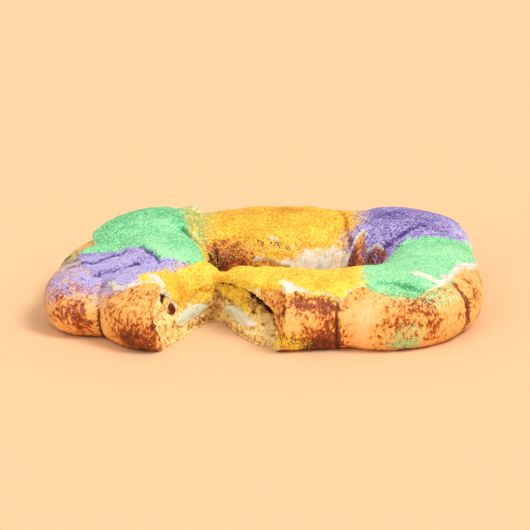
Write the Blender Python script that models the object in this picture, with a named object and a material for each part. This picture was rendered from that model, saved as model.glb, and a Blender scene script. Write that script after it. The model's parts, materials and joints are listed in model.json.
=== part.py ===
"""King cake: an oval ring of plaited sweet dough with a cream filling, iced on top, with one bite torn out.

Three solids that lie in each other: the baked dough, the ribbon of cream that runs inside it and shows on
both faces of the bite, and the sheet of icing that lies over its top.
The origin is at the middle of the underside; +X runs along the cake, the bite faces -Y and +Z is up.
"""

import math

import bmesh
import bpy
import numpy as np
from mathutils import Vector

MM = 0.001

# Driving sizes of the whole cake, in metres.
CAKE_LENGTH = 381 * MM
CAKE_WIDTH = 254 * MM
CAKE_HEIGHT = 62 * MM
HOLE_CENTRE = (28 * MM, 3 * MM)
HOLE_LENGTH = 160 * MM
HOLE_WIDTH = 72 * MM
OUTLINE_POWER = 2.6
HOLE_POWER = 2.2

# The plaited lumps of dough. Each is a pillow: its middle, the way it points, its half length,
# its half width, its height and the power of its outline, in millimetres and degrees.
LUMPS = {
    "front_middle": (14, -79, 4, 64, 47, 56, 2.5),
    "front_right": (115, -76, 21, 66, 46, 57, 2.1),
    "right_end": (144, -29, 87, 66, 46, 57, 2.6),
    "back_right": (123, 66, 154, 61, 54, 62, 2.5),
    "back_middle": (14, 79, 178, 82, 47, 60, 2.5),
    "back_left": (-98, 62, 214, 62, 52, 61, 2.2),
    "left_inner": (-92, 8, 100, 62, 44, 57, 2.4),
    "left_end": (-145, -38, 266, 54, 46, 49, 2.6),
    "front_left": (-98, -77, 310, 50, 45, 57, 2.3),
    "bite_left": (-56, -66, 344, 46, 48, 52, 2.4),
    "bite_ridge": (-60, -28, 322, 27, 19, 49, 2.3),
    "bite_right": (-17, -51, 312, 28, 20, 51, 2.3),
}
LUMP_MIDDLE_Z = 22 * MM  # the height where a lump is widest
LUMP_DEPTH = 30 * MM  # how far it would reach below that if nothing stopped it
SECTION_POWER = 2.3
SEAM_SOFTNESS = 0.02  # the share of a lump's size over which two lumps run together

# The rope of dough under the lumps, which keeps the seams shallow: its share of the ring's width,
# and its height in millimetres by the angle round the cake from +X.
CORE_SHARE = 0.9
CORE_HEIGHT = [(0, 52), (45, 57), (90, 59), (140, 52), (175, 46), (215, 46), (240, 46), (275, 52), (312, 56)]

# The bite, as the line of its torn wall seen from above, from its left end to its right.
BITE_WALL = [
    (-92, -120),
    (-86, -104),
    (-77, -90),
    (-69, -72),
    (-60, -55),
    (-52, -42),
    (-44, -35),
    (-37, -38),
    (-29, -52),
    (-19, -70),
    (-9, -88),
    (2, -98),
    (12, -108),
    (14, -120),
]
BITE_FRONT_Y = -150 * MM
# How far the tear pressed the dough down: by X along its wall, the share of the height that is left
# and how far back from the wall the dough comes up to its full height.
PRESSED_FROM_Z = 20 * MM
PRESSED = [
    (-104, 1.0, 20),
    (-91, 1.0, 26),
    (-84, 0.72, 34),
    (-75, 0.34, 38),
    (-65, 0.24, 34),
    (-47, 0.3, 13),
    (-41, 0.6, 10),
    (-33, 0.8, 10),
    (-22, 0.84, 12),
    (-10, 0.85, 16),
    (0, 0.88, 20),
    (16, 1.0, 20),
]

# The pocket of air under the crust, in the wall to the right of the bite.
POCKET_MIDDLE = (0 * MM, -86 * MM, 31 * MM)
POCKET_HALF = (22 * MM, 15 * MM, 9.5 * MM)
POCKET_TURN = math.radians(-60)

# The cream, a flat ribbon along the middle of the dough.
CREAM_SHARE = 0.4  # its place from the hole's edge to the outer edge
CREAM_HALF_WIDTH = 26 * MM
CREAM_HALF_THICK = 5.5 * MM
CREAM_Z = 14 * MM

# The icing: how high its lower edge stands on the outer side and on the hole's side, in millimetres,
# by the angle round the cake from +X.
ICING_THICK = 2.2 * MM
ICING_OUTER_EDGE = [(0, 44), (40, 46), (75, 42), (110, 46), (150, 43), (185, 41), (215, 46), (255, 47), (290, 45), (320, 43)]
ICING_HOLE_EDGE = [(0, 40), (40, 38), (70, 24), (95, 40), (130, 44), (160, 26), (190, 24), (240, 40), (280, 36), (325, 38)]
ICING_MOST_SHARE = 0.84  # in a seam the edge stands no higher than this share of the dough

FIT_GAP = 0.3 * MM  # between two solids that touch

# How finely the solids are faceted.
STATIONS = 86
STATION_DENSITY = [(0, 1000), (185, 1000), (215, 1800), (262, 1800), (285, 1000)]  # by angle round the cake
BASE_STEPS, SIDE_STEPS, TOP_STEPS, HOLE_STEPS = 3, 7, 10, 7
CREAM_STATIONS, CREAM_STEPS = 48, 8
DENSE_RAYS = 240
RAY_SAMPLES = 48
RAY_REACH = 110 * MM
AXIS_Z = 22 * MM


def signed_power(value, power):
    return np.sign(value) * np.abs(value) ** power


def oval(angle, half_length, half_width, power, centre=(0.0, 0.0)):
    """Points of a rounded oval at the given angles."""
    x = centre[0] + half_length * signed_power(np.cos(angle), 2 / power)
    y = centre[1] + half_width * signed_power(np.sin(angle), 2 / power)
    return np.stack([x, y], axis=-1)


def spokes(angle):
    """For each station, where its spoke leaves the hole's edge and where it reaches the outer edge."""
    hole = oval(angle, HOLE_LENGTH / 2, HOLE_WIDTH / 2, HOLE_POWER, HOLE_CENTRE)
    outer = oval(angle, CAKE_LENGTH / 2, CAKE_WIDTH / 2, OUTLINE_POWER)
    return hole, outer


def compass(points):
    """The angle of plan points round the cake from +X, in degrees."""
    return np.degrees(np.arctan2(points[:, 1], points[:, 0])) % 360


def periodic(table, degrees):
    """A smooth closed curve through the (angle, millimetres) pairs of a table, in metres."""
    at, value = np.array(table, float).T
    at = np.concatenate([at - 360, at, at + 360])
    value = np.concatenate([value] * 3)
    spot = np.clip(np.searchsorted(at, degrees, side="right") - 1, 0, len(at) - 2)
    share = (degrees - at[spot]) / (at[spot + 1] - at[spot])
    share = share * share * (3 - 2 * share)
    return (value[spot] * (1 - share) + value[spot + 1] * share) * MM


def even_angles(count, density=((0, 1000),)):
    """Angles whose stations stand at even distances along the middle of the ring, or closer by a table."""
    fine = np.linspace(0, 2 * math.pi, 4001)
    hole, outer = spokes(fine)
    steps = np.linalg.norm(np.diff((hole + outer) / 2, axis=0), axis=1)
    steps *= periodic(density, compass(outer))[1:]
    along = np.concatenate([[0], np.cumsum(steps)])
    return np.interp(np.arange(count) / count * along[-1], along, fine)


def lump_depth(points, lump):
    """How deep the points lie in one lump: 1 on its surface, less than 1 inside it."""
    x, y, heading, half_length, half_width, height, power = lump
    turn = math.radians(heading)
    dx, dy = points[..., 0] - x * MM, points[..., 1] - y * MM
    along = (dx * math.cos(turn) + dy * math.sin(turn)) / (half_length * MM)
    across = (dy * math.cos(turn) - dx * math.sin(turn)) / (half_width * MM)
    plan = (np.abs(along) ** power + np.abs(across) ** power) ** (1 / power)
    return pillow(plan, points[..., 2], height * MM)


def pillow(plan, z, height):
    """Joins a depth in plan with the height above the widest level."""
    up = z - LUMP_MIDDLE_Z
    up = np.where(up > 0, up / (height - LUMP_MIDDLE_Z), up / LUMP_DEPTH)
    return (plan**SECTION_POWER + np.abs(up) ** SECTION_POWER) ** (1 / SECTION_POWER)


def dough_depth(points, across, core_height):
    """The same for all the lumps and the rope under them, which run into each other at their seams."""
    depths = [lump_depth(points, lump) for lump in LUMPS.values()]
    depths.append(pillow(np.abs(across) / CORE_SHARE, points[..., 2], core_height))
    depths = np.stack(depths)
    least = depths.min(axis=0)
    return least - SEAM_SOFTNESS * np.log(np.exp((least - depths) / SEAM_SOFTNESS).sum(axis=0))


def section_outlines(angle):
    """The dough's outline in the upright plane of each spoke, as dense closed lines of points in space.

    They start under the middle and run outwards along the base, up the outer side, over the top and down
    the hole's side. Each point is where a ray from inside the dough leaves it for the last time.
    """
    hole, outer = spokes(angle)
    half = np.linalg.norm(outer - hole, axis=1)[:, None] / 2
    outward = (outer - hole) / half / 2
    core_height = periodic(CORE_HEIGHT, compass(outer))[:, None]
    turn = np.linspace(-math.pi / 2, 1.5 * math.pi, DENSE_RAYS, endpoint=False)
    ray = np.empty((len(angle), DENSE_RAYS, 3))
    ray[..., :2] = outward[:, None, :] * np.cos(turn)[None, :, None]
    ray[..., 2] = np.sin(turn)
    start = np.concatenate([(hole + outer) / 2, np.full((len(angle), 1), AXIS_Z)], axis=1)[:, None, :]

    def within(r):
        return dough_depth(start + ray * r[..., None], r * np.cos(turn) / half, core_height) < 1

    reach = np.linspace(0, RAY_REACH, RAY_SAMPLES)
    inside = np.stack([within(np.full(ray.shape[:2], r)) for r in reach])
    last = RAY_SAMPLES - 1 - np.argmax(inside[::-1], axis=0)
    low, high = reach[last], reach[np.minimum(last + 1, RAY_SAMPLES - 1)]
    for _ in range(14):
        mid = (low + high) / 2
        stays = within(mid)
        low, high = np.where(stays, mid, low), np.where(stays, high, mid)
    to_floor = np.where(ray[..., 2] < 0, AXIS_Z / np.maximum(-ray[..., 2], 1e-9), RAY_REACH)
    return start + ray * np.minimum(low, to_floor)[..., None]


def bite_outline():
    """The bite seen from above, as a closed outline: its torn wall, then round the front of the cake."""
    wall = np.array(BITE_WALL) * MM
    left, right = wall[0], wall[-1]
    return np.vstack(
        [wall, [right[0] + 2 * MM, BITE_FRONT_Y], [left[0] - 4 * MM, BITE_FRONT_Y]]
    )


def within_outline(points, outline):
    """Whether each point lies inside a closed outline in plan."""
    x, y = points[..., 0], points[..., 1]
    inside = np.zeros(x.shape, bool)
    for (x0, y0), (x1, y1) in zip(outline, np.roll(outline, -1, axis=0)):
        rise = y1 - y0 if y1 != y0 else 1.0
        inside ^= ((y0 > y) != (y1 > y)) & (x < x0 + (x1 - x0) * (y - y0) / rise)
    return inside


def distance_to_wall(points):
    """Plan distance from the points to the bite's torn wall, which is nothing inside the bite."""
    wall = np.array(BITE_WALL) * MM
    nearest = np.full(points.shape[:-1], np.inf)
    for a, b in zip(wall[:-1], wall[1:]):
        run = b - a
        share = np.clip(((points[..., :2] - a) @ run) / (run @ run), 0, 1)
        away = points[..., :2] - (a + share[..., None] * run)
        nearest = np.minimum(nearest, np.linalg.norm(away, axis=-1))
    return np.where(within_outline(points, bite_outline()), 0, nearest)


def press_down(points):
    """Lowers the top of the dough near the bite, where tearing it pressed it down."""
    pressed_x, kept, reach = np.array(PRESSED).T
    left = np.interp(points[..., 0], pressed_x * MM, kept)
    reach = np.interp(points[..., 0], pressed_x * MM, reach * MM)
    share = np.clip(distance_to_wall(points) / reach, 0, 1)
    share = share * share * (3 - 2 * share)
    scale = left + (1 - left) * share
    moved = points.copy()
    above = np.maximum(points[..., 2] - PRESSED_FROM_Z, 0)
    moved[..., 2] = np.minimum(points[..., 2], PRESSED_FROM_Z) + above * scale
    return moved


def resample(line, begin, end, steps):
    """Points at even distances along an outline from one of its places to another, without the last."""
    steps_along = np.linalg.norm(np.diff(line, axis=0), axis=1)
    along = np.concatenate([[0], np.cumsum(steps_along)])
    wanted = along[begin] + (along[end] - along[begin]) * np.arange(steps) / steps
    return np.stack([np.interp(wanted, along, line[:, k]) for k in range(3)], axis=1)


def dough_sections(angle):
    """The sections of the dough, each with the same count of points, and with the icing's edges on two of them."""
    lines = section_outlines(angle)
    _, outer = spokes(angle)
    high_outside = periodic(ICING_OUTER_EDGE, compass(outer))
    high_inside = periodic(ICING_HOLE_EDGE, compass(outer))
    sections = []
    for line, edge_out, edge_in in zip(lines, high_outside, high_inside):
        top = int(np.argmax(line[:, 2]))
        most = line[top, 2] * ICING_MOST_SHARE
        on_floor = np.flatnonzero(line[:, 2] < 1e-6)
        base_end = on_floor[on_floor < DENSE_RAYS / 2].max()
        base_start = on_floor[on_floor > DENSE_RAYS / 2].min()
        ice_out = base_end + int(np.argmax(line[base_end:, 2] > min(edge_out, most)))
        ice_in = top + int(np.argmax(line[top:, 2] < min(edge_in, most)))
        round_trip = np.concatenate([line, line[: base_end + 1]])
        after = len(line) + base_end
        sections.append(
            np.vstack(
                [
                    resample(round_trip, base_start, after, BASE_STEPS),
                    resample(round_trip, base_end, ice_out, SIDE_STEPS),
                    resample(round_trip, ice_out, ice_in, TOP_STEPS),
                    resample(round_trip, ice_in, base_start, HOLE_STEPS),
                ]
            )
        )
    return to_size(press_down(np.array(sections)))


def to_size(sections):
    """Stretches the ring to its named length, width and height and centres it over the origin."""
    low, high = sections.min(axis=(0, 1)), sections.max(axis=(0, 1))
    middle = (low + high) / 2
    middle[2] = low[2]
    return (sections - middle) * (np.array([CAKE_LENGTH, CAKE_WIDTH, CAKE_HEIGHT]) / (high - low))


def oval_sections(angle, half_width, half_thick):
    """Flat oval sections along the middle of the dough, for the cream and for its channel."""
    hole, outer = spokes(angle)
    outward = (outer - hole) / np.linalg.norm(outer - hole, axis=1)[:, None]
    middle = hole + (outer - hole) * CREAM_SHARE
    turn = np.arange(CREAM_STEPS) / CREAM_STEPS * 2 * math.pi
    sideways = half_width * signed_power(np.cos(turn), 0.7)
    upwards = CREAM_Z + half_thick * signed_power(np.sin(turn), 0.7)
    points = np.empty((len(angle), CREAM_STEPS, 3))
    points[..., :2] = middle[:, None, :] + outward[:, None, :] * sideways[None, :, None]
    points[..., 2] = upwards
    return points


def loft(name, sections, collection, turned_from=None):
    """A closed ring of skin through the sections, each joined to the next and the last to the first.

    From the given step on, the four-cornered patches are split along their other diagonal.
    """
    stations, steps, _ = sections.shape
    mesh = bpy.data.meshes.new(name)
    bm = bmesh.new()
    rows = [[bm.verts.new(point) for point in section] for section in sections]
    for i in range(stations):
        here, ahead = rows[i], rows[(i + 1) % stations]
        for j in range(steps):
            after = (j + 1) % steps
            if turned_from is None or j < turned_from:
                bm.faces.new((here[j], ahead[j], ahead[after]))
                bm.faces.new((here[j], ahead[after], here[after]))
            else:
                bm.faces.new((here[j], ahead[j], here[after]))
                bm.faces.new((ahead[j], ahead[after], here[after]))
    bmesh.ops.recalc_face_normals(bm, faces=bm.faces)
    bm.to_mesh(mesh)
    bm.free()
    mesh.shade_smooth()
    mesh.set_sharp_from_angle(angle=math.radians(50))
    made = bpy.data.objects.new(name, mesh)
    collection.objects.link(made)
    return made


def vertex_normals(sections):
    """Outward directions at the points of a lofted ring, from the points on each side of them."""
    ahead = np.roll(sections, -1, axis=0) - np.roll(sections, 1, axis=0)
    round_it = np.roll(sections, -1, axis=1) - np.roll(sections, 1, axis=1)
    normal = np.cross(ahead, round_it)
    normal /= np.linalg.norm(normal, axis=-1)[..., None]
    outward = (sections - sections.mean(axis=1, keepdims=True)) * normal
    normal *= 1 if outward.sum() > 0 else -1
    for axis in (0, 1):
        normal = normal + (np.roll(normal, 1, axis=axis) + np.roll(normal, -1, axis=axis)) / 2
    return normal / np.linalg.norm(normal, axis=-1)[..., None]


def icing_sections(sections):
    """Thin closed sections that lie on the iced rows of the dough, clear of it by the fit gap."""
    iced = slice(BASE_STEPS + SIDE_STEPS, BASE_STEPS + SIDE_STEPS + TOP_STEPS + 1)
    normal = vertex_normals(sections)[:, iced]
    under = sections[:, iced] + normal * FIT_GAP
    rounding = np.sin(np.linspace(0, math.pi, TOP_STEPS + 1)) ** 0.35
    thick = ICING_THICK * (0.45 + 0.55 * rounding)
    over = sections[:, iced] + normal * (FIT_GAP + thick[None, :, None])
    return np.concatenate([under, over[:, ::-1]], axis=1)


def prism(name, outline, low, high, collection):
    """An upright block with the given outline."""
    mesh = bpy.data.meshes.new(name)
    bm = bmesh.new()
    base = bm.faces.new([bm.verts.new((x, y, low)) for x, y in outline])
    grown = bmesh.ops.extrude_face_region(bm, geom=[base])
    tops = [item for item in grown["geom"] if isinstance(item, bmesh.types.BMVert)]
    bmesh.ops.translate(bm, verts=tops, vec=Vector((0, 0, high - low)))
    bmesh.ops.recalc_face_normals(bm, faces=bm.faces)
    bm.to_mesh(mesh)
    bm.free()
    made = bpy.data.objects.new(name, mesh)
    collection.objects.link(made)
    return made


def pocket(name, collection):
    """The pocket of air, an egg lying along the bite's right wall."""
    bpy.ops.mesh.primitive_uv_sphere_add(segments=16, ring_count=8, radius=1.0, location=POCKET_MIDDLE)
    made = bpy.context.object
    made.name = name
    made.scale = POCKET_HALF
    made.rotation_euler = (0, 0, POCKET_TURN)
    for old in made.users_collection:
        old.objects.unlink(made)
    collection.objects.link(made)
    return made


def as_cutter(obj):
    obj.hide_render = True
    obj.display_type = "WIRE"
    return obj


def cut(obj, cutter):
    """Takes the cutter's shape out of an object."""
    modifier = obj.modifiers.new("cut_" + cutter.name, "BOOLEAN")
    modifier.operation = "DIFFERENCE"
    modifier.solver = "EXACT"
    modifier.object = cutter


def material(name, colour, roughness):
    made = bpy.data.materials.new(name)
    made.use_nodes = True
    shader = made.node_tree.nodes["Principled BSDF"]
    shader.inputs["Base Color"].default_value = (*colour, 1.0)
    shader.inputs["Roughness"].default_value = roughness
    shader.inputs["Metallic"].default_value = 0.0
    return made


def new_collection(name):
    made = bpy.data.collections.new(name)
    bpy.context.scene.collection.children.link(made)
    return made


def main():
    for obj in list(bpy.data.objects):
        bpy.data.objects.remove(obj, do_unlink=True)
    cake = new_collection("king_cake")
    cutters = new_collection("cutters")

    angle = even_angles(STATIONS, STATION_DENSITY)
    sections = dough_sections(angle)
    dough = loft("dough_ring", sections, cake)
    icing = loft("icing", icing_sections(sections), cake, turned_from=TOP_STEPS + 1)
    cream_angle = even_angles(CREAM_STATIONS)
    cream = loft("cream_filling", oval_sections(cream_angle, CREAM_HALF_WIDTH, CREAM_HALF_THICK), cake)

    channel_size = (CREAM_HALF_WIDTH + FIT_GAP, CREAM_HALF_THICK + FIT_GAP)
    channel = as_cutter(loft("channel", oval_sections(cream_angle, *channel_size), cutters))
    bite = as_cutter(prism("bite", bite_outline(), -0.02, 0.1, cutters))
    hollow = as_cutter(pocket("pocket", cutters))
    cut(dough, channel)
    cut(dough, bite)
    cut(dough, hollow)
    cut(icing, bite)
    cut(cream, bite)

    dough.data.materials.append(material("baked_dough", (0.72, 0.33, 0.11), 0.55))
    icing.data.materials.append(material("sugared_icing", (0.86, 0.74, 0.42), 0.6))
    cream.data.materials.append(material("cream_cheese", (0.86, 0.85, 0.76), 0.3))


main()
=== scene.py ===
"""King cake: the looks of a plaited ring of sweet dough, iced and sugared, with one bite torn out.

Lengths are in metres. +X runs along the cake, the bite faces -Y and +Z is up, with the board at 0.
"""

import functools
import json
import math

import bpy
import numpy as np
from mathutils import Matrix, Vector

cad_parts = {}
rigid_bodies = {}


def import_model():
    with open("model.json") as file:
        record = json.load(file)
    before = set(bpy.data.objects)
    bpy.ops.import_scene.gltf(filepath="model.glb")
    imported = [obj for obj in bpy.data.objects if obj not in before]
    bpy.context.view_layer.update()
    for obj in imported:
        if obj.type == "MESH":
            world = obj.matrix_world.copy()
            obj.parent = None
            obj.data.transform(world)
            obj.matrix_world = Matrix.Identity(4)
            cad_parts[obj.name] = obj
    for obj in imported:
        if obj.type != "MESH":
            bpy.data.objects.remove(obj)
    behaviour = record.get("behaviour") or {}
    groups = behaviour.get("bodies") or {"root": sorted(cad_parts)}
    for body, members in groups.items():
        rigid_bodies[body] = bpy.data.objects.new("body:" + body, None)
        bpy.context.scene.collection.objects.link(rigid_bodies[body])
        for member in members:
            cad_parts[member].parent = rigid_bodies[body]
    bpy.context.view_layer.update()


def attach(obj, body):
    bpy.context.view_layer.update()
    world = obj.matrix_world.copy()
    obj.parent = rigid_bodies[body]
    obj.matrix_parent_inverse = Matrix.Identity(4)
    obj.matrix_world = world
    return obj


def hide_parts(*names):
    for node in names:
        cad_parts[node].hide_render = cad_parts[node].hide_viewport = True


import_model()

bl_info = {
    "name": "King Cake",
    "version": (1, 0, 0),
    "blender": (4, 5, 0),
    "location": "3D View > Sidebar > King Cake",
    "description": "Bakes a plaited ring cake with icing, coloured sugar and a bite torn out",
    "category": "Add Mesh",
}

MM = 0.001

# ---------------------------------------------------------------- the dough's form, as the CAD has it
CAKE_LENGTH = 381 * MM
CAKE_WIDTH = 254 * MM
CAKE_HEIGHT = 62 * MM
HOLE_CENTRE = (28 * MM, 3 * MM)
HOLE_LENGTH = 160 * MM
HOLE_WIDTH = 72 * MM
OUTLINE_POWER = 2.6
HOLE_POWER = 2.2
# Each lump: x, y, heading, half length, half width, height, power of its outline; mm and degrees.
LUMPS = {
    "front_middle": (14, -79, 4, 64, 47, 56, 2.5),
    "front_right": (115, -76, 21, 66, 46, 57, 2.1),
    "right_end": (144, -29, 87, 66, 46, 57, 2.6),
    "back_right": (123, 66, 154, 61, 54, 62, 2.5),
    "back_middle": (14, 79, 178, 82, 47, 60, 2.5),
    "back_left": (-98, 62, 214, 62, 52, 61, 2.2),
    "left_inner": (-92, 8, 100, 62, 44, 57, 2.4),
    "left_end": (-145, -38, 266, 54, 46, 49, 2.6),
    "front_left": (-98, -77, 310, 50, 45, 57, 2.3),
    "bite_left": (-56, -66, 344, 46, 48, 52, 2.4),
    "bite_ridge": (-60, -28, 322, 27, 19, 49, 2.3),
    "bite_right": (-17, -51, 312, 28, 20, 51, 2.3),
}
LUMP_MIDDLE_Z = 22 * MM
LUMP_DEPTH = 30 * MM
SECTION_POWER = 2.3
SEAM_SOFTNESS = 0.02
SEAM_WIDTH = 0.028  # as a share of a lump's depth
CORE_SHARE = 0.9
CORE_HEIGHT = [
    (0, 52), (45, 57), (90, 59), (140, 52), (175, 46), (215, 46), (240, 46), (275, 52), (312, 56),
]
BITE_WALL = [
    (-92, -120), (-86, -104), (-77, -90), (-69, -72), (-60, -55), (-52, -42), (-44, -35),
    (-37, -38), (-29, -52), (-19, -70), (-9, -88), (2, -98), (12, -108), (14, -120),
]
BITE_FRONT_Y = -150 * MM
PRESSED_FROM_Z = 20 * MM
PRESSED = [
    (-104, 1.0, 20), (-91, 1.0, 26), (-84, 0.72, 34), (-75, 0.34, 38), (-65, 0.24, 34), (-47, 0.3, 13),
    (-41, 0.6, 10), (-33, 0.8, 10), (-22, 0.84, 12), (-10, 0.85, 16), (0, 0.88, 20), (16, 1.0, 20),
]
CREAM_SHARE = 0.4
CREAM_HALF_WIDTH = 26 * MM
CREAM_HALF_THICK = 5.5 * MM
CREAM_Z = 14.5 * MM

# ---------------------------------------------------------------- how finely the pieces are meshed
FORM_STATIONS = 312
FIRST_STATION = math.radians(252)  # the ring starts and ends inside the bite
FORM_RAYS = 240
RAY_SAMPLES = 44
RAY_REACH = 110 * MM
HALVINGS = 13  # of the last step of a ray, to find the surface
AXIS_Z = 22 * MM
BASE_ROWS = 8
OVER_ROWS = 138
ICING_MARGIN_ROWS = 10  # rows left out at each foot of the ring, which the icing never reaches
ICING_UNDER_ROWS = 24
CREAM_STATIONS = 420
CREAM_STEPS = 36
WALL_STEP = 0.9 * MM
CUT_HEIGHTS = (-4 * MM, 78 * MM)

# ---------------------------------------------------------------- the icing
ICING_THICKNESS = 2.4  # in mm, apart from its lumps and what fills the creases
ICING_SUNK = 1.5 * MM  # how far the sheet's underside lies inside the dough
ICING_OVERHANG = 0.6 * MM  # how far the icing stands past the torn dough
# Distance in mm from the crest of the ring down to the icing's edge, by degrees round the cake from +X.
ICING_OUTER_EDGE = [
    (0, 42), (8, 46), (15, 62), (24, 54), (40, 48), (60, 44), (75, 47), (90, 43), (105, 48), (120, 44),
    (135, 50), (150, 47), (159, 48), (165, 38), (169, 31), (173, 40), (178, 44), (190, 42), (198, 40),
    (204, 39), (211, 48), (216, 55), (219, 55), (221.5, 47), (224, 40), (227, 35), (230, 34), (240, 40),
    (262, 38), (273, 30), (279, 29), (281, 26), (287, 27), (294, 28), (298, 35), (302, 27), (305, 24),
    (308, 25), (310, 38), (316, 46), (319, 51), (321, 51), (324, 48), (327, 45), (330, 44), (334, 39),
    (338, 35), (343, 34), (348, 37), (355, 42),
]
ICING_HOLE_EDGE = [
    (0, 46), (10, 44), (19, 42), (25, 44), (30, 53), (33, 46), (36, 36), (38.5, 32), (40, 36), (41.5, 52),
    (44, 62), (50, 68), (55, 73), (65, 77), (80, 78), (95, 78), (103, 77), (121, 75), (128, 73),
    (132.5, 71), (134, 60), (136, 46), (141, 43), (147, 45), (152, 57), (158, 68), (165, 74), (180, 77),
    (190, 76), (200, 73), (215, 72), (250, 60), (280, 60), (300, 56), (320, 52), (340, 50),
]
# The bare strip of crust in the back wall of the hole, above the hanging tongue of icing.
BARE_FROM, BARE_TO = 101, 140
STRIP_MIDDLE = -57 * MM  # from the crest, down the hole's side
BARE_TOP = [
    (0, 40), (101, 59.5), (104, 57), (110, 54), (116, 51), (120, 51.5), (126, 50), (130, 47), (134, 43),
    (140, 41),
]
BARE_FOOT = [
    (0, 60), (101, 60), (104, 61), (108, 61), (114, 60.5), (124, 64), (129, 68), (132, 71), (134, 80),
    (140, 90),
]
# Width in mm of the rim that the sugar leaves bare, by degrees, on the outer side and on the hole's side;
# below zero the sugar runs on past the icing's edge.
OUTER_RIM = [
    (0, 5), (12, 4), (20, 1), (60, 0), (150, 0), (165, 0.5), (175, 0.5), (185, -1), (208, -1.5),
    (212, 1.5), (217, 1.8), (220, 0.9), (225, 0.5), (228, 3), (233, 3), (240, 1), (262, 0), (274, 1),
    (279, 2.5), (283, 2), (288, 0.2), (300, 0.5), (304, 0), (309, -1.5), (320, -1.5), (325, 0.5),
    (330, 3), (335, 4.5), (350, 5),
]
HOLE_RIM = [
    (0, -1), (18, 0), (25, 2.5), (38, 2), (44, 0), (50, 0), (56, 3), (98, 3.5), (108, 3.5), (116, 2.5),
    (128, 0.5), (136, -1.5), (147, -1.5), (160, 0), (200, -1), (330, -1),
]
# Where the green icing lies over the purple at the cake's left end: y of its edge by x.
GREEN_OVER_PURPLE = [
    (-195, 16), (-153, 9), (-126, 4), (-108, -2), (-97, -18), (-90, -29), (-82, -30), (-75, -27),
    (-65, -22), (-52, -18),
]
# The other borders between colours: y by x on the right, and x by y for the two on the left.
GREEN_PURPLE_RIGHT = [
    (84, -14), (108, -12), (113, -4), (118, 17), (128, 23), (150, 27), (164, 28), (173, 36), (183, 60),
    (192, 80),
]
GREEN_GOLD_LEFT = [(-20, -50), (4, -54), (38, -64), (51, -69), (79, -74), (110, -70)]
PURPLE_GOLD_LEFT = [
    (-140, -112), (-92, -107), (-80, -100), (-74, -91), (-66, -86), (-50, -82), (-36, -78), (-28, -71),
    (-22, -64), (-12, -58),
]
# Spots that the sugar missed: x, y, z, radius and how much sugar is left there.
MISSED_SPOTS = [
    (-96, -90, 52, 8, 0.35), (17, -97, 54, 5, 0.3), (22, -102, 52, 7.5, 0.06), (27, -108, 50, 4, 0.15),
    (158, -78, 50, 10, 0.2), (22, 34, 26, 9, 0.2), (36, 35, 28, 13, 0.3), (50, 36, 28, 14, 0.3),
    (64, 36, 28, 14, 0.3), (77, 37, 30, 9, 0.35), (-62, 84, 62, 6, 0.5), (-128, -90, 48, 6, 0.1),
    (187, 57, 42, 9, 0.35), (176, 56, 50, 5, 0.6), (7, 41.4, 48, 2.4, 0.15), (11, 40.7, 47, 2.4, 0.1),
    (15, 39.6, 45.6, 2.4, 0.1), (19, 38.2, 44, 2.4, 0.1), (23, 36.8, 42, 2, 0.3), (-97, -86, 59, 3, 0.1),
    (-92, -90, 58, 3.4, 0.08), (-88, -94, 54, 3.6, 0.08), (-85, -97, 49, 3.6, 0.08),
    (-82, -95, 44, 3.4, 0.08), (-80, -92, 39, 3.4, 0.08), (-77, -88, 34, 3.2, 0.1),
    (126, -79, 59, 2.6, 0.4), (131, -81, 58.5, 3, 0.12), (136, -83.5, 58, 3.4, 0.06),
    (141, -85, 56.5, 3.6, 0.04), (146, -87, 54.5, 3.8, 0.04), (151, -88, 52.5, 4, 0.04),
    (-13, 34, 30.5, 3.8, 0.08), (-7, 34, 31.5, 3.6, 0.08), (-1, 33, 32, 3.6, 0.08),
    (5, 32, 31, 3.6, 0.08), (11, 31, 30, 4, 0.08), (18, 31, 29, 5.5, 0.08),
]
# Spots that the icing itself missed, where the crust shows: x, y, radius.
BARE_SPOTS = [(4, 72, 3.5), (10, 66, 2.5), (13, -90, 2.5), (-39, -47, 3), (-34, -52, 2.5)]
# Where the icing stands up: x, y, reach each way, height.
HUMPS = [(-66, 84, 11, 9, 7.5), (-62, 84, 4, 7, 3.0), (-54, -22, 12, 5, 1.2)]
OPEN_SEAM = 50  # degrees round the cake where the icing leaves a seam of the plait open
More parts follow.
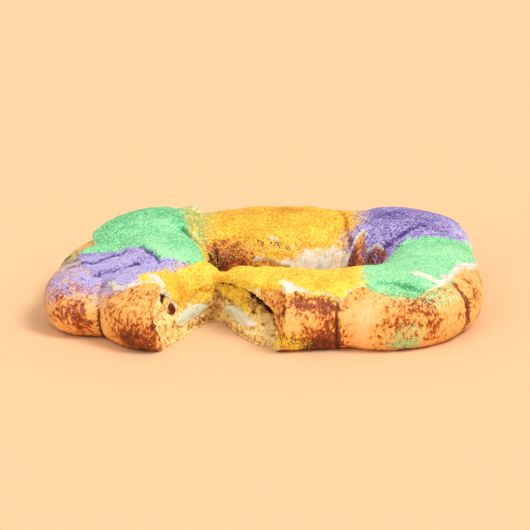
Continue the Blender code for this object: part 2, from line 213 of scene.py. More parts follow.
# Folds in the icing, where it sank and its sugar is painted deeper in colour as shade: points along each,
# then its half width, its depth and how much deeper its colour is painted.
FOLDS = [
    (
        [(-168, -32, 46), (-156, -26, 48), (-148, -31, 49), (-139, -15, 47), (-130, -1, 46), (-121, 1, 48)],
        3.4, 1.8, 0.8,
    ),
    ([(-143, -58, 48), (-134, -50, 48), (-125, -45, 47), (-118, -33, 46), (-109, -29, 47)], 4, 1.6, 0.7),
    ([(-106, -2, 55), (-102, -12, 55), (-97, -20, 54), (-93, -26, 53), (-91, -31, 51)], 2.2, 1.6, 0.75),
    ([(-118, 8, 53), (-106, -2, 55)], 2.5, 1.0, 0.45),
    ([(-72, 45, 56), (-67, 41, 53), (-63, 37, 49), (-57, 35, 43), (-54, 30, 34)], 2.6, 2.4, 0.8),
    ([(70, 88, 57), (71, 82, 57), (73, 64, 55), (75, 52, 50), (78, 39, 43), (79, 31, 31)], 2.4, 2.2, 0.8),
    (
        [(105, 23, 42), (107, 24, 46), (116, 26, 51), (122, 30, 55), (131, 37, 58), (141, 43, 59)],
        2.6, 1.8, 0.75,
    ),
    ([(131, 57, 61), (137, 55, 61), (145, 55, 60)], 3.0, 0.9, 0.3),
    ([(154, 41, 55), (162, 47, 52), (172, 52, 47), (180, 60, 41)], 2.4, 1.2, 0.35),
    ([(115, -33, 51), (124, -31, 55), (137, -35, 57)], 2.2, 1.0, 0.3),
    ([(98, -98, 54), (111, -98, 54), (120, -102, 52), (130, -104, 50), (142, -100, 48)], 3.6, 1.2, 0.45),
    ([(122, -82, 56), (130, -85, 56), (137, -88, 54), (145, -91, 51), (151, -93, 48)], 2.2, 1.4, 0.5),
    ([(-90, -31, 47), (-80, -31, 46), (-72, -25, 45), (-63, -19, 45), (-53, -15, 44)], 2.4, 1.8, 0.5),
    ([(40, -79, 57), (43, -92, 55), (48, -102, 52)], 1.6, 1.2, 0.45),
]
# Patches where the sugar is deeper or paler than around: x, y, z, reach across, reach in height, amount.
TONE_SPOTS = [
    (150, 70, 55, 50, 40, 0.1), (180, 60, 46, 22, 22, -0.4), (110, 62, 58, 14, 20, 0.2),
    (100, -12, 50, 26, 20, 0.12), (-130, 50, 56, 30, 20, 0.08), (-90, 40, 58, 16, 14, -0.12),
    (20, 84, 58, 14, 10, 0.35), (-12, 80, 60, 14, 8, 0.16), (70, -80, 52, 12, 10, 0.3),
    (-46, -44, 36, 10, 8, 0.3), (-66, -60, 34, 16, 14, 0.44), (122, -101, 52, 13, 9, 0.35),
    (-54, -44, 32, 8, 8, 0.2), (20, -90, 50, 14, 10, 0.3), (56, -90, 50, 10, 8, 0.2),
    (0, -80, 48, 16, 12, -0.12), (160, -20, 52, 20, 20, -0.14), (-60, 62, 58, 14, 14, 0.14),
    (-128, -52, 48, 40, 24, -0.1), (112, -86, 54, 22, 14, -0.12), (60, 56, 56, 12, 14, 0.1),
]


# ================================================================ plain helpers
def to_linear(code):
    """A colour from its sRGB hex code, as linear values for a socket."""
    parts = [int(code[i : i + 2], 16) / 255 for i in (1, 3, 5)]
    linear = [c / 12.92 if c <= 0.04045 else ((c + 0.055) / 1.055) ** 2.4 for c in parts]
    return (*linear, 1.0)


def smooth(share):
    """Eases a share between 0 and 1 in and out."""
    return share * share * (3 - 2 * share)


def rise(value, middle, soft):
    """A smooth step from 0 to 1 about a middle value, over the soft distance on each side."""
    return smooth(np.clip((value - middle) / (2 * soft) + 0.5, 0, 1))


def read_table(table, place):
    """A table's value at a place; both are in mm in the table and in metres elsewhere."""
    at, value = np.array(table, float).T * MM
    return np.interp(place, at, value)


def unit(vectors):
    """The same directions at length 1."""
    return vectors / np.maximum(np.linalg.norm(vectors, axis=-1), 1e-12)[..., None]


def run_lengths(line):
    """How far along a line of points each of them lies."""
    steps = np.linalg.norm(np.diff(line, axis=0), axis=1)
    return np.concatenate([[0], np.cumsum(steps)])


def points_at(line, along, wanted):
    """The places on a line at the wanted distances along it."""
    return np.stack([np.interp(wanted, along, column) for column in line.T], axis=1)


def distance_to_path(points, path):
    """How far points are from the nearest place on a path of straight runs."""
    nearest = np.full(points.shape[:-1], np.inf)
    for a, b in zip(path[:-1], path[1:]):
        run = b - a
        share = np.clip(((points - a) @ run) / (run @ run), 0, 1)
        nearest = np.minimum(nearest, np.linalg.norm(points - (a + share[..., None] * run), axis=-1))
    return nearest


def read_array(items, name, width=1, kind=np.float32):
    """One property of all items of a mesh, as an array with one row for each."""
    values = np.empty(len(items) * width, kind)
    items.foreach_get(name, values)
    return values.reshape(-1, width) if width > 1 else values


NOISE_CELLS = 32


@functools.lru_cache(maxsize=None)
def random_table(seed):
    """A repeating block of random values between -1 and 1, the same for the same seed."""
    return np.random.default_rng(seed).random((NOISE_CELLS,) * 3) * 2 - 1


def noise(points, cell, seed):
    """Smooth noise between -1 and 1 at points in space, with lumps of about the cell's size."""
    spot = np.asarray(points) / cell + 7.3 * seed
    base = np.floor(spot).astype(int)
    part = smooth(spot - base)
    table = random_table(seed)
    total = np.zeros(spot.shape[:-1])
    for corner in np.ndindex(2, 2, 2):
        at = (base + corner) % NOISE_CELLS
        weight = np.prod(np.where(corner, part, 1 - part), axis=-1)
        total += weight * table[at[..., 0], at[..., 1], at[..., 2]]
    return total


def flat_points(first, second):
    """Two measures as points of a plane, to draw noise from."""
    first, second = np.broadcast_arrays(first, second)
    return np.stack([first, second, np.zeros_like(first)], axis=-1)


# ================================================================ the ring of dough
def signed_power(value, power):
    """A power that keeps the value's sign."""
    return np.sign(value) * np.abs(value) ** power


def oval(angle, half_length, half_width, power, centre=(0.0, 0.0)):
    """Points of a squared oval at the given angles."""
    x = centre[0] + half_length * signed_power(np.cos(angle), 2 / power)
    y = centre[1] + half_width * signed_power(np.sin(angle), 2 / power)
    return np.stack([x, y], axis=-1)


def spokes(angle):
    """For each station, where its spoke leaves the hole's edge and where it reaches the outer edge."""
    hole = oval(angle, HOLE_LENGTH / 2, HOLE_WIDTH / 2, HOLE_POWER, HOLE_CENTRE)
    outer = oval(angle, CAKE_LENGTH / 2, CAKE_WIDTH / 2, OUTLINE_POWER)
    return hole, outer


def compass(points):
    """The direction of points from the cake's middle, in degrees from +X."""
    return np.degrees(np.arctan2(points[:, 1], points[:, 0])) % 360


def periodic(table, degrees):
    """A smooth closed curve through the (degrees, millimetres) pairs of a table, in metres."""
    at, value = np.array(table, float).T
    at = np.concatenate([at - 360, at, at + 360])
    value = np.concatenate([value] * 3)
    spot = np.clip(np.searchsorted(at, degrees, side="right") - 1, 0, len(at) - 2)
    share = smooth((degrees - at[spot]) / (at[spot + 1] - at[spot]))
    return (value[spot] * (1 - share) + value[spot + 1] * share) * MM


def even_angles(count):
    """Angles whose stations stand at even distances along the middle of the ring."""
    fine = FIRST_STATION + np.linspace(0, 2 * math.pi, 4001)
    hole, outer = spokes(fine)
    along = run_lengths((hole + outer) / 2)
    return np.interp(np.arange(count) / count * along[-1], along, fine), along[-1]


def lump_depth(points, lump):
    """How deep the points lie in one lump: 1 on its surface, less than 1 inside it."""
    x, y, heading, half_length, half_width, height, power = lump
    turn = math.radians(heading)
    dx, dy = points[..., 0] - x * MM, points[..., 1] - y * MM
    along = (dx * math.cos(turn) + dy * math.sin(turn)) / (half_length * MM)
    across = (dy * math.cos(turn) - dx * math.sin(turn)) / (half_width * MM)
    plan = (np.abs(along) ** power + np.abs(across) ** power) ** (1 / power)
    return pillow(plan, points[..., 2], height * MM)


def pillow(plan, z, height):
    """How deep a place lies in a lump, from its depth in plan and its height."""
    up = z - LUMP_MIDDLE_Z
    up = np.where(up > 0, up / (height - LUMP_MIDDLE_Z), up / LUMP_DEPTH)
    return (plan**SECTION_POWER + np.abs(up) ** SECTION_POWER) ** (1 / SECTION_POWER)


def dough_depth(points, across, core_height):
    """How deep the points lie in the whole dough: all lumps and the core, run together at their seams."""
    depths = [lump_depth(points, lump) for lump in LUMPS.values()]
    depths.append(pillow(np.abs(across) / CORE_SHARE, points[..., 2], core_height))
    depths = np.stack(depths)
    least = depths.min(axis=0)
    return least - SEAM_SOFTNESS * np.log(np.exp((least - depths) / SEAM_SOFTNESS).sum(axis=0))


def section_outlines(angle):
    """The dough's outline on each spoke's upright plane, from below its middle round the outer side."""
    hole, outer = spokes(angle)
    half = np.linalg.norm(outer - hole, axis=1)[:, None] / 2
    outward = (outer - hole) / half / 2
    core_height = periodic(CORE_HEIGHT, compass(outer))[:, None]
    turn = np.linspace(-math.pi / 2, 1.5 * math.pi, FORM_RAYS, endpoint=False)
    ray = np.empty((len(angle), FORM_RAYS, 3))
    ray[..., :2] = outward[:, None, :] * np.cos(turn)[None, :, None]
    ray[..., 2] = np.sin(turn)
    start = np.concatenate([(hole + outer) / 2, np.full((len(angle), 1), AXIS_Z)], axis=1)[:, None, :]

    def within(r):
        return dough_depth(start + ray * r[..., None], r * np.cos(turn) / half, core_height) < 1

    reach = np.linspace(0, RAY_REACH, RAY_SAMPLES)
    inside = np.stack([within(np.full(ray.shape[:2], r)) for r in reach])
    last = RAY_SAMPLES - 1 - np.argmax(inside[::-1], axis=0)
    low, high = reach[last], reach[np.minimum(last + 1, RAY_SAMPLES - 1)]
    for _ in range(HALVINGS):
        mid = (low + high) / 2
        stays = within(mid)
        low, high = np.where(stays, mid, low), np.where(stays, high, mid)
    to_floor = np.where(ray[..., 2] < 0, AXIS_Z / np.maximum(-ray[..., 2], 1e-9), RAY_REACH)
    return start + ray * np.minimum(low, to_floor)[..., None]


def bite_outline():
    """The bite's closed outline seen from above."""
    wall = np.array(BITE_WALL) * MM
    left, right = wall[0], wall[-1]
    return np.vstack([wall, [right[0] + 2 * MM, BITE_FRONT_Y], [left[0] - 4 * MM, BITE_FRONT_Y]])


def within_outline(points, outline):
    """Which points lie inside a closed outline, seen from above."""
    x, y = points[..., 0], points[..., 1]
    inside = np.zeros(x.shape, bool)
    for (x0, y0), (x1, y1) in zip(outline, np.roll(outline, -1, axis=0)):
        run = y1 - y0 if y1 != y0 else 1.0
        inside ^= ((y0 > y) != (y1 > y)) & (x < x0 + (x1 - x0) * (y - y0) / run)
    return inside


def distance_to_wall(points):
    """Plan distance from the points to the bite's torn wall, which is nothing inside the bite."""
    nearest = distance_to_path(points[..., :2], np.array(BITE_WALL) * MM)
    return np.where(within_outline(points, bite_outline()), 0, nearest)


def press_down(points):
    """Lowers the top of the dough near the bite, where tearing it pressed it down."""
    pressed_x, kept, reach = np.array(PRESSED).T
    left = np.interp(points[..., 0], pressed_x * MM, kept)
    reach = np.interp(points[..., 0], pressed_x * MM, reach * MM)
    share = smooth(np.clip(distance_to_wall(points) / reach, 0, 1))
    scale = left + (1 - left) * share
    moved = points.copy()
    above = np.maximum(points[..., 2] - PRESSED_FROM_Z, 0)
    moved[..., 2] = np.minimum(points[..., 2], PRESSED_FROM_Z) + above * scale
    return moved


def to_size(sections):
    """Moves and scales the ring so that it has the cake's outer sizes and stands on 0."""
    low, high = sections.min(axis=(0, 1)), sections.max(axis=(0, 1))
    middle = (low + high) / 2
    middle[2] = low[2]
    return (sections - middle) * (np.array([CAKE_LENGTH, CAKE_WIDTH, CAKE_HEIGHT]) / (high - low))


def outward_normals(rows, passes):
    """Outward directions at the points of a ring of sections, smoothed by the given count of passes."""
    ahead = np.roll(rows, -1, axis=0) - np.roll(rows, 1, axis=0)
    round_it = np.roll(rows, -1, axis=1) - np.roll(rows, 1, axis=1)
    normal = unit(np.cross(ahead, round_it))
    outward = (rows - rows.mean(axis=1, keepdims=True)) * normal
    normal *= 1 if outward.sum() > 0 else -1
    for _ in range(passes):
        for axis in (0, 1):
            normal = unit(normal + (np.roll(normal, 1, axis=axis) + np.roll(normal, -1, axis=axis)) / 2)
    return normal


def doubled(values):
    """Twice as many stations, with the new ones on a smooth curve between the old ones."""
    before, after = np.roll(values, 1, axis=0), np.roll(values, -1, axis=0)
    between = (9 * (values + after) - before - np.roll(values, -2, axis=0)) / 16
    return np.stack([values, between], axis=1).reshape(-1, *values.shape[1:])


def sample_section(line):
    """One section as even rows, base first and then over the top, with their distances from the crest."""
    on_floor = np.flatnonzero(line[:, 2] < 1e-6)
    base_end = on_floor[on_floor < FORM_RAYS / 2].max()
    base_start = on_floor[on_floor > FORM_RAYS / 2].min()
    along = run_lengths(line)
    wanted = along[base_end] + (along[base_start] - along[base_end]) * np.arange(OVER_ROWS) / OVER_ROWS
    over = points_at(line, along, wanted)
    share = (np.arange(BASE_ROWS) / BASE_ROWS)[:, None]
    base = line[base_start] * (1 - share) + line[base_end] * share
    crest = along[FORM_RAYS // 2]
    foot_in, foot_out = crest - along[base_start], crest - along[base_end]
    base_arc = foot_in + (foot_out - foot_in) * share[:, 0]
    return np.vstack([base, over]), np.concatenate([base_arc, crest - wanted])


@functools.lru_cache(maxsize=None)
def ring_form():
    """The dough's whole surface as rows of points, with what the icing and the crust need to know."""
    angle, length = even_angles(FORM_STATIONS)
    sampled = [sample_section(line) for line in section_outlines(angle)]
    rows = doubled(np.array([points for points, _ in sampled]))
    arc = doubled(np.array([distances for _, distances in sampled]))
    rows[..., 2] = np.maximum(rows[..., 2], 0)
    stations = len(rows)
    fine_angle = np.interp(np.arange(stations) / 2, np.arange(FORM_STATIONS), angle)
    fine_angle[-1] = angle[-1] + (FIRST_STATION + 2 * math.pi - angle[-1]) / 2
    degrees = compass(spokes(fine_angle)[1])
    along = np.arange(stations) / stations * length
    depths = np.sort(np.stack([lump_depth(rows, lump) for lump in LUMPS.values()]), axis=0)
    crease = np.exp(-(((depths[1] - depths[0]) / SEAM_WIDTH) ** 2))
    rows = to_size(press_down(rows))
    normal = outward_normals(rows, 2)
    free = rise(rows[..., 2], 5 * MM, 4 * MM)
    spread = flat_points(along[:, None], arc)
    swell = 0.9 * MM * noise(rows, 26 * MM, 1) + 0.4 * MM * noise(rows, 9 * MM, 2)
    swell += 0.28 * MM * noise(spread * (1, 0.3, 1), 4.5 * MM, 3) + 0.12 * MM * noise(rows, 2.6 * MM, 4)
    swell -= 1.8 * MM * crease
    rows = rows + normal * (swell * free)[..., None]
    rows[..., 2] = np.maximum(rows[..., 2], 0)
    return {
        "rows": rows,
        "normal": outward_normals(rows, 5),
        "arc": arc,
        "along": along,
        "length": length,
        "degrees": degrees,
        "crease": crease,
    }


def ring_mesh(name, rows, along=None, arc=None):
    """A closed ring of triangles through rows of points, with the two distances as its UV map."""
    stations, steps, _ = rows.shape
    index = np.arange(stations * steps).reshape(stations, steps)
    here, ahead = index, np.roll(index, -1, axis=0)
    here_up, ahead_up = np.roll(here, -1, axis=1), np.roll(ahead, -1, axis=1)
    faces = np.stack([here, ahead, ahead_up, here, ahead_up, here_up], axis=-1).reshape(-1, 3)
    mesh = mesh_from(name, rows.reshape(-1, 3), faces)
    if along is not None:
        pairs = np.stack(np.broadcast_arrays(along[:, None], arc), axis=-1).reshape(-1, 2)
        corners = read_array(mesh.loops, "vertex_index", kind=np.int32)
        layer = mesh.uv_layers.new(name="along_and_across")
        layer.data.foreach_set("uv", pairs[corners].ravel())
    return mesh


def mesh_from(name, points, faces):
    """A mesh of triangles that face outwards."""
    corners = points[faces]
    volume = np.einsum("ij,ij->i", corners[:, 0], np.cross(corners[:, 1], corners[:, 2])).sum()
    if volume < 0:
        faces = faces[:, ::-1]
    mesh = bpy.data.meshes.new(name)
    mesh.vertices.add(len(points))
    mesh.vertices.foreach_set("co", points.astype(np.float32).ravel())
    mesh.loops.add(faces.size)
    mesh.loops.foreach_set("vertex_index", faces.astype(np.int32).ravel())
    mesh.polygons.add(len(faces))
    mesh.polygons.foreach_set("loop_start", np.arange(len(faces), dtype=np.int32) * 3)
    mesh.update(calc_edges=True)
    mesh.validate()
    return mesh


def add_object(name, mesh):
    """A new object in the scene."""
    made = bpy.data.objects.new(name, mesh)
    bpy.context.scene.collection.objects.link(made)
    return made


def settle(obj):
    """Turns an object's modifiers into plain mesh."""
    bpy.context.view_layer.update()
    depsgraph = bpy.context.evaluated_depsgraph_get()
    mesh = bpy.data.meshes.new_from_object(
        obj.evaluated_get(depsgraph), preserve_all_data_layers=True, depsgraph=depsgraph
    )
    old = obj.data
    obj.modifiers.clear()
    obj.data = mesh
    mesh.name = obj.name
    bpy.data.meshes.remove(old)


def cut(obj, cutter):
    """Takes the cutter's shape out of an object, and gives the new faces the cutter's material."""
    modifier = obj.modifiers.new("cut", "BOOLEAN")
    modifier.operation = "DIFFERENCE"
    modifier.solver = "MANIFOLD"
    modifier.object = cutter
    before = len(obj.data.polygons)
    settle(obj)
    if not 0.3 * before < len(obj.data.polygons) < 3 * before:
        raise RuntimeError(f"cutting {obj.name} left {len(obj.data.polygons)} of {before} faces")
    bpy.data.objects.remove(cutter)


# ================================================================ the bite
def bite_wall_line():
    """The bite's torn wall seen from above, rounded at its corners and evenly stepped."""
    wall = np.array(BITE_WALL, float) * MM
    for _ in range(2):
        near, far = wall[:-1] * 0.75 + wall[1:] * 0.25, wall[:-1] * 0.25 + wall[1:] * 0.75
        wall = np.concatenate([wall[:1], np.stack([near, far], axis=1).reshape(-1, 2), wall[-1:]])
    along = run_lengths(wall)
    return points_at(wall, along, np.arange(0, along[-1], WALL_STEP))


# How far the torn wall leans back at each height, on the bite's left and right and at its right corner.
LEAN_LEFT = [
    (-5, -3.5), (0, -3), (6, -2), (9, 0), (19, 0.5), (22, 2.5), (25, 4.5), (29, 4.5), (36, 3), (60, 4),
]
LEAN_RIGHT = [(-5, -4.5), (0, -4), (6, -3), (9, 0), (19, 0.5), (24, 3), (30, 6), (38, 9), (60, 9)]
LEAN_CORNER = [(-5, 0), (8, 0), (18, 1.5), (30, 4), (45, 6), (60, 7)]
# The roof of crust over the bite's right side: the height of its torn edge by x, then the height and the
# depth of the hollow under it.
ROOF_EDGE = [
    (-46, 32), (-39, 35), (-32, 38), (-17, 42), (-8, 41.5), (-2, 39), (3, 34), (7, 27.5), (11.5, 15),
    (14, 4),
]
HOLLOW_HEIGHT = [(-42, 1), (-32, 2.4), (-22, 3.6), (-14, 7), (-6, 13), (0, 16), (6, 14), (10, 7)]
HOLLOW_DEPTH = [(-43, 0), (-38, 4), (-30, 8), (-16, 10), (-6, 12), (2, 11), (7, 4), (11, 0)]
# The rope of crumb up the bite's inmost corner: x, half width and how far it stands out.
ROPE = (-44.5 * MM, 3.2 * MM, 3.0 * MM)
PIT = (-87, -97, 42)  # the deepest hole in the torn dough of the left flap


def tear_noise(spot):
    """The grain of torn dough: lumps, open holes and fine crumb."""
    lumps = 2.0 * MM * noise(spot, 14 * MM, 11) + 1.6 * MM * noise(spot, 6 * MM, 12)
    ridged = 1 - 2 * np.abs(noise(spot, 3.6 * MM, 13))
    return lumps + 1.2 * MM * ridged + 0.55 * MM * noise(spot, 1.8 * MM, 14)


def ledge_chunks(x, z, spot):
    """Larger chunks of crumb along the foot of the bite's right wall."""
    foot = rise(x, -16 * MM, 6 * MM) * (1 - rise(z, 17 * MM, 3 * MM))
    return 2.4 * MM * noise(spot, 5.5 * MM, 15) * foot


def hollow_share(x, z):
    """How far places on the right wall lie in the hollow under the roof, and anywhere below the roof."""
    at, height = np.array(ROOF_EDGE, float).T
    steep = np.interp(x, at * MM, np.gradient(height, at))
    below = (read_table(ROOF_EDGE, x) - z) / np.sqrt(1 + steep**2)
    under_roof = rise(below, 0.9 * MM, 1.2 * MM)
    tall = read_table(HOLLOW_HEIGHT, x)
    return under_roof * (1 - rise(below, tall, 0.25 * tall + 0.6 * MM)), under_roof


def torn(x, y, z):
    """How far the tear eats into the dough behind the bite's wall line, in metres."""
    spot = np.stack(np.broadcast_arrays(x, y, z), axis=-1)
    right = rise(x, -40 * MM, 5 * MM)
    corner = rise(x, 5 * MM, 6 * MM)
    hollow, under_roof = hollow_share(x, z)
    face = 1.0 * MM * (1 - corner) + read_table(LEAN_CORNER, z) * corner
    lean = read_table(LEAN_RIGHT, z) * (1 - corner * rise(z, 14 * MM, 5 * MM))
    right_wall = lean * under_roof + face * (1 - under_roof)
    right_wall += read_table(HOLLOW_DEPTH, x) * hollow
    deep = read_table(LEAN_LEFT, z) * (1 - right) + right_wall * right
    beside_cream = np.exp(-(((z - CREAM_Z) / (7 * MM)) ** 2))
    calm = (1 - 0.6 * corner * (1 - under_roof)) * (1 - 0.75 * hollow * right) * (1 - 0.55 * beside_cream)
    deep += tear_noise(spot) * calm + ledge_chunks(x, z, spot)
    deep -= ROPE[2] * np.exp(-(((x - ROPE[0]) / ROPE[1]) ** 2))
    pit = np.linalg.norm(spot - np.array(PIT) * MM, axis=-1) / (3.2 * MM)
    return deep + 5 * MM * np.exp(-(pit**2))


def torn_icing(x, y, z):
    """The same for the icing, which is trimmed further back where it would lie under the bare crust."""
    bare = rise(-y, 98 * MM, 2 * MM) * (1 - rise(z, 48 * MM, 1.5 * MM))
    return torn(x, y, z) + 5 * MM * bare


def smooth_cream_face(x, y, z):
    """The cream's own face: proud of the torn wall, and rounded over its height."""
    spot = np.stack(np.broadcast_arrays(x, y, z), axis=-1)
    deep = 0.9 * MM * noise(spot, 14 * MM, 11) + 0.6 * MM * noise(spot * (1, 1, 2.2), 9 * MM, 21)
    over = np.clip(1 - ((z - CREAM_Z) / (1.15 * CREAM_HALF_THICK)) ** 2, -0.5, 1)
    past_corner = 28 * MM * rise(x, 1 * MM, 2 * MM)
    return deep - (0.5 + 1.5 * over) * MM + past_corner


def bite_cutter(name, depth_of, forward, material):
    """A solid that fills the bite, whose back is the torn wall."""
    line = bite_wall_line()
    run = np.gradient(line, axis=0)
    inward = np.stack([-run[:, 1], run[:, 0]], axis=1)
    for _ in range(6):
        inward[1:-1] = inward[1:-1] + (inward[:-2] + inward[2:]) / 2
        inward = unit(inward)
    levels = np.arange(*CUT_HEIGHTS, WALL_STEP)
    x, z = np.meshgrid(line[:, 0], levels)
    y = np.broadcast_to(line[:, 1], x.shape)
    deep = depth_of(x, y, z) - forward
    count = len(line)
    points = np.empty((len(levels), count + 2, 3))
    points[:, :count, 0] = x + inward[:, 0] * deep
    points[:, :count, 1] = y + inward[:, 1] * deep
    points[:, count] = (line[-1, 0] + 3 * MM, BITE_FRONT_Y, 0)
    points[:, count + 1] = (line[0, 0] - 5 * MM, BITE_FRONT_Y, 0)
    points[..., 2] = levels[:, None]
    ring = count + 2
    index = np.arange(len(levels) * ring).reshape(len(levels), ring)
    here, above = index[:-1], index[1:]
    here_on, above_on = np.roll(here, -1, axis=1), np.roll(above, -1, axis=1)
    sides = np.stack([here, here_on, above_on, here, above_on, above], axis=-1).reshape(-1, 3).tolist()
    mesh = bpy.data.meshes.new(name)
    mesh.from_pydata(points.reshape(-1, 3), [], sides + [index[0, ::-1].tolist(), index[-1].tolist()])
    mesh.validate()
    mesh.flip_normals()
    mesh.materials.append(material)
    return add_object(name, mesh)


# ================================================================ the icing
@functools.lru_cache(maxsize=None)
def icing_edges():
    """The icing's edges at each station, with small tongues and drips, and how steeply they run."""
    form = ring_form()
    along = form["along"]
    curves = {}
    for name, table, seed in (("outer", ICING_OUTER_EDGE, 41), ("hole", ICING_HOLE_EDGE, 43)):
        edge = periodic(table, form["degrees"])
        spot = flat_points(along, np.zeros_like(along))
        edge += 1.7 * MM * noise(spot, 9 * MM, seed) + 0.8 * MM * noise(spot, 3.6 * MM, seed + 1)
        curves[name] = edge
        curves[name + "_flat"] = 1 / np.sqrt(1 + np.gradient(edge, along) ** 2)
    spot = flat_points(along, np.ones_like(along))
    ragged = 1.1 * MM * noise(spot, 5 * MM, 45)
    curves["bare_top"] = periodic(BARE_TOP, form["degrees"]) + ragged
    curves["bare_foot"] = periodic(BARE_FOOT, form["degrees"]) - ragged * 0.5
    curves["outer_rim"] = periodic(OUTER_RIM, form["degrees"])
    curves["hole_rim"] = periodic(HOLE_RIM, form["degrees"])
    return curves


def edge_reaches(along, arc):
    """How far places lie inside the icing's outer edge, its edge in the hole and that at the bare strip."""
    form, curves = ring_form(), icing_edges()

    def at(name):
        return np.interp(along, form["along"], curves[name])

    outer = (at("outer") - arc) * at("outer_flat")
    hole = (arc + at("hole")) * at("hole_flat")
    degrees = np.interp(along, form["along"], np.unwrap(np.radians(form["degrees"]))) % (2 * math.pi)
    near_strip = (degrees > math.radians(BARE_FROM)) & (degrees < math.radians(BARE_TO))
    bare = np.minimum(-arc - at("bare_top"), at("bare_foot") + arc)
    return outer, hole, np.where(near_strip, -bare, CAKE_LENGTH)


def icing_reach(along, arc):
    """How far inside the icing's nearest edge each place on the dough lies; below zero it is bare crust."""
    return np.minimum.reduce(edge_reaches(along, arc))


def fold_share(points, number):
    """How close points are to one of the icing's folds, from 0 to 1."""
    path, half_width, _, _ = FOLDS[number]
    nearest = distance_to_path(points, np.array(path) * MM) + 1.2 * MM * noise(points, 6 * MM, 47)
    return np.exp(-((nearest / (half_width * MM)) ** 2))


def past_bare_spots(points, reach):
    """The same reach, which also ends at the edges of the bare spots."""
    for x, y, radius in BARE_SPOTS:
        away = np.hypot(points[..., 0] - x * MM, points[..., 1] - y * MM)
        reach = np.minimum(reach, away + 1.5 * MM * noise(points, 4 * MM, 46) - radius * MM)
    return reach


def icing_height(points, along, arc, crease):
    """How far the icing's top stands off the dough."""
    reaches = edge_reaches(along, arc)
    reach = past_bare_spots(points, np.minimum.reduce(reaches))
    spread = flat_points(along, arc)
    thick = (ICING_THICKNESS + 0.7 * noise(points, 15 * MM, 51) + 1.6 * crease) * MM
    thick += (0.45 - 0.3 * rise(-arc, 32 * MM, 8 * MM)) * MM * noise(spread * (1, 0.22, 1), 5 * MM, 52)
    above_strip = (arc > STRIP_MIDDLE) * (1 - np.clip(reaches[2] / (12 * MM), 0, 1))
    thick *= 1 - 0.7 * above_strip
    rim = 2.2 * MM
    share = np.clip(reach / rim, 0, 1)
    shape = np.sqrt(1 - (1 - share) ** 2)
    bead = 0.8 * MM * np.exp(-(((reach - 2.6 * MM) / (2.0 * MM)) ** 2)) * (1 - above_strip)
    height = np.where(reach > 0, (thick + bead) * shape, np.maximum(reach * 1.2, -0.9 * MM))
    edge_y = read_table(GREEN_OVER_PURPLE, points[..., 0])
    on_left = 1 - rise(points[..., 0], -84 * MM, 4 * MM)
    lap = np.clip((points[..., 1] - edge_y) / (2 * MM), 0, 1)
    height += 1.7 * MM * np.sqrt(1 - (1 - lap) ** 2) * on_left * (reach > 0)
    for number, (_, _, depth, _) in enumerate(FOLDS):
        height -= np.minimum(depth * MM * fold_share(points, number), 0.8 * np.maximum(height, 0))
    for x, y, wide, deep, tall in HUMPS:
        away = np.hypot((points[..., 0] - x * MM) / (wide * MM), (points[..., 1] - y * MM) / (deep * MM))
        height += tall * MM * np.exp(-(away**2)) * (points[..., 2] > 30 * MM) * (reach > 0)
    grain = 0.24 * MM * noise(points, 1.5 * MM, 53) + 0.14 * MM * noise(points, 0.9 * MM, 54)
    return height + grain * rise(reach, 2 * MM, 2 * MM)


def sugar_amounts(x, y):
    """Shares of gold, green and purple sugar over the icing, which add up to one."""
    spot = flat_points(x, y)
    x = x + 1.8 * MM * noise(spot, 7 * MM, 61) + 0.8 * MM * noise(spot, 2.4 * MM, 62)
    y = y + 1.8 * MM * noise(spot, 7 * MM, 63) + 0.8 * MM * noise(spot, 2.4 * MM, 64)
    above = rise(y, read_table(GREEN_OVER_PURPLE, x), 1.2 * MM)
    lobe = 1 - rise(x, read_table(GREEN_GOLD_LEFT, y), 2 * MM)
    speckled = 0.5 * (1 - rise(x, -50 * MM, 13 * MM)) * rise(y, 18 * MM, 10 * MM)
    left = 1 - rise(x, -49 * MM, 3 * MM) * (y < 18 * MM)
    green_left = np.maximum(lobe, speckled) * above * left
    purple_left = (1 - above) * (1 - rise(x, read_table(PURPLE_GOLD_LEFT, y), 5 * MM))
    back_side = rise(y, read_table(GREEN_PURPLE_RIGHT, x), 3 * MM)
    green_right = rise(x, 84 * MM, 7 * MM) * (1 - back_side)
    # It drifts further left where the icing hangs down into the hole.
    drift = 13 * MM * (1 - rise(y, 52 * MM, 10 * MM))
    purple_right = rise(x + drift, 86 * MM, 13 * MM) * back_side
    green = np.clip(green_left + green_right, 0, 1)
    purple = np.clip(purple_left + purple_right, 0, 1 - green)
    return 1 - green - purple, green, purple


def sugar_cover(points, along, arc):
    """How thickly the sugar lies on the icing, from none on a bare rim to 1."""
    form, curves = ring_form(), icing_edges()
    outer, hole, strip = edge_reaches(along, arc)
    uneven = 1 + 0.5 * noise(points, 8 * MM, 71)
    cover = np.minimum(rise(strip, 0, 1.2 * MM) + (arc > STRIP_MIDDLE), 1)
    for reach, name in ((outer, "outer_rim"), (hole, "hole_rim")):
        rim = np.interp(along, form["along"], curves[name]) * uneven
        cover = np.minimum(cover, rise(reach, rim, 1.1 * MM + 0.45 * np.abs(rim)))
    for x, y, z, radius, left in MISSED_SPOTS:
        away = np.linalg.norm(points - np.array([x, y, z]) * MM, axis=-1)
        away = away + 3.5 * MM * noise(points, 6 * MM, 72)
        cover = cover * (left + (1 - left) * rise(away, radius * MM, 0.4 * radius * MM))
    return cover


def sugar_tone(points):
    """How deep the sugar's colour is, from 0 for its palest to 1 for its deepest."""
    tone = 0.22 + 0.12 * noise(points, 16 * MM, 73) + 0.16 * noise(points, 5 * MM, 74)
    tone += 0.25 * rise(points[:, 1], 10 * MM, 50 * MM)
    tone += spots_of(TONE_SPOTS, points)
    # Painted shade along the icing's folds deepens the sugar's colour there.
    for number, (_, _, _, deeper) in enumerate(FOLDS):
        tone += deeper * fold_share(points, number)
    return tone


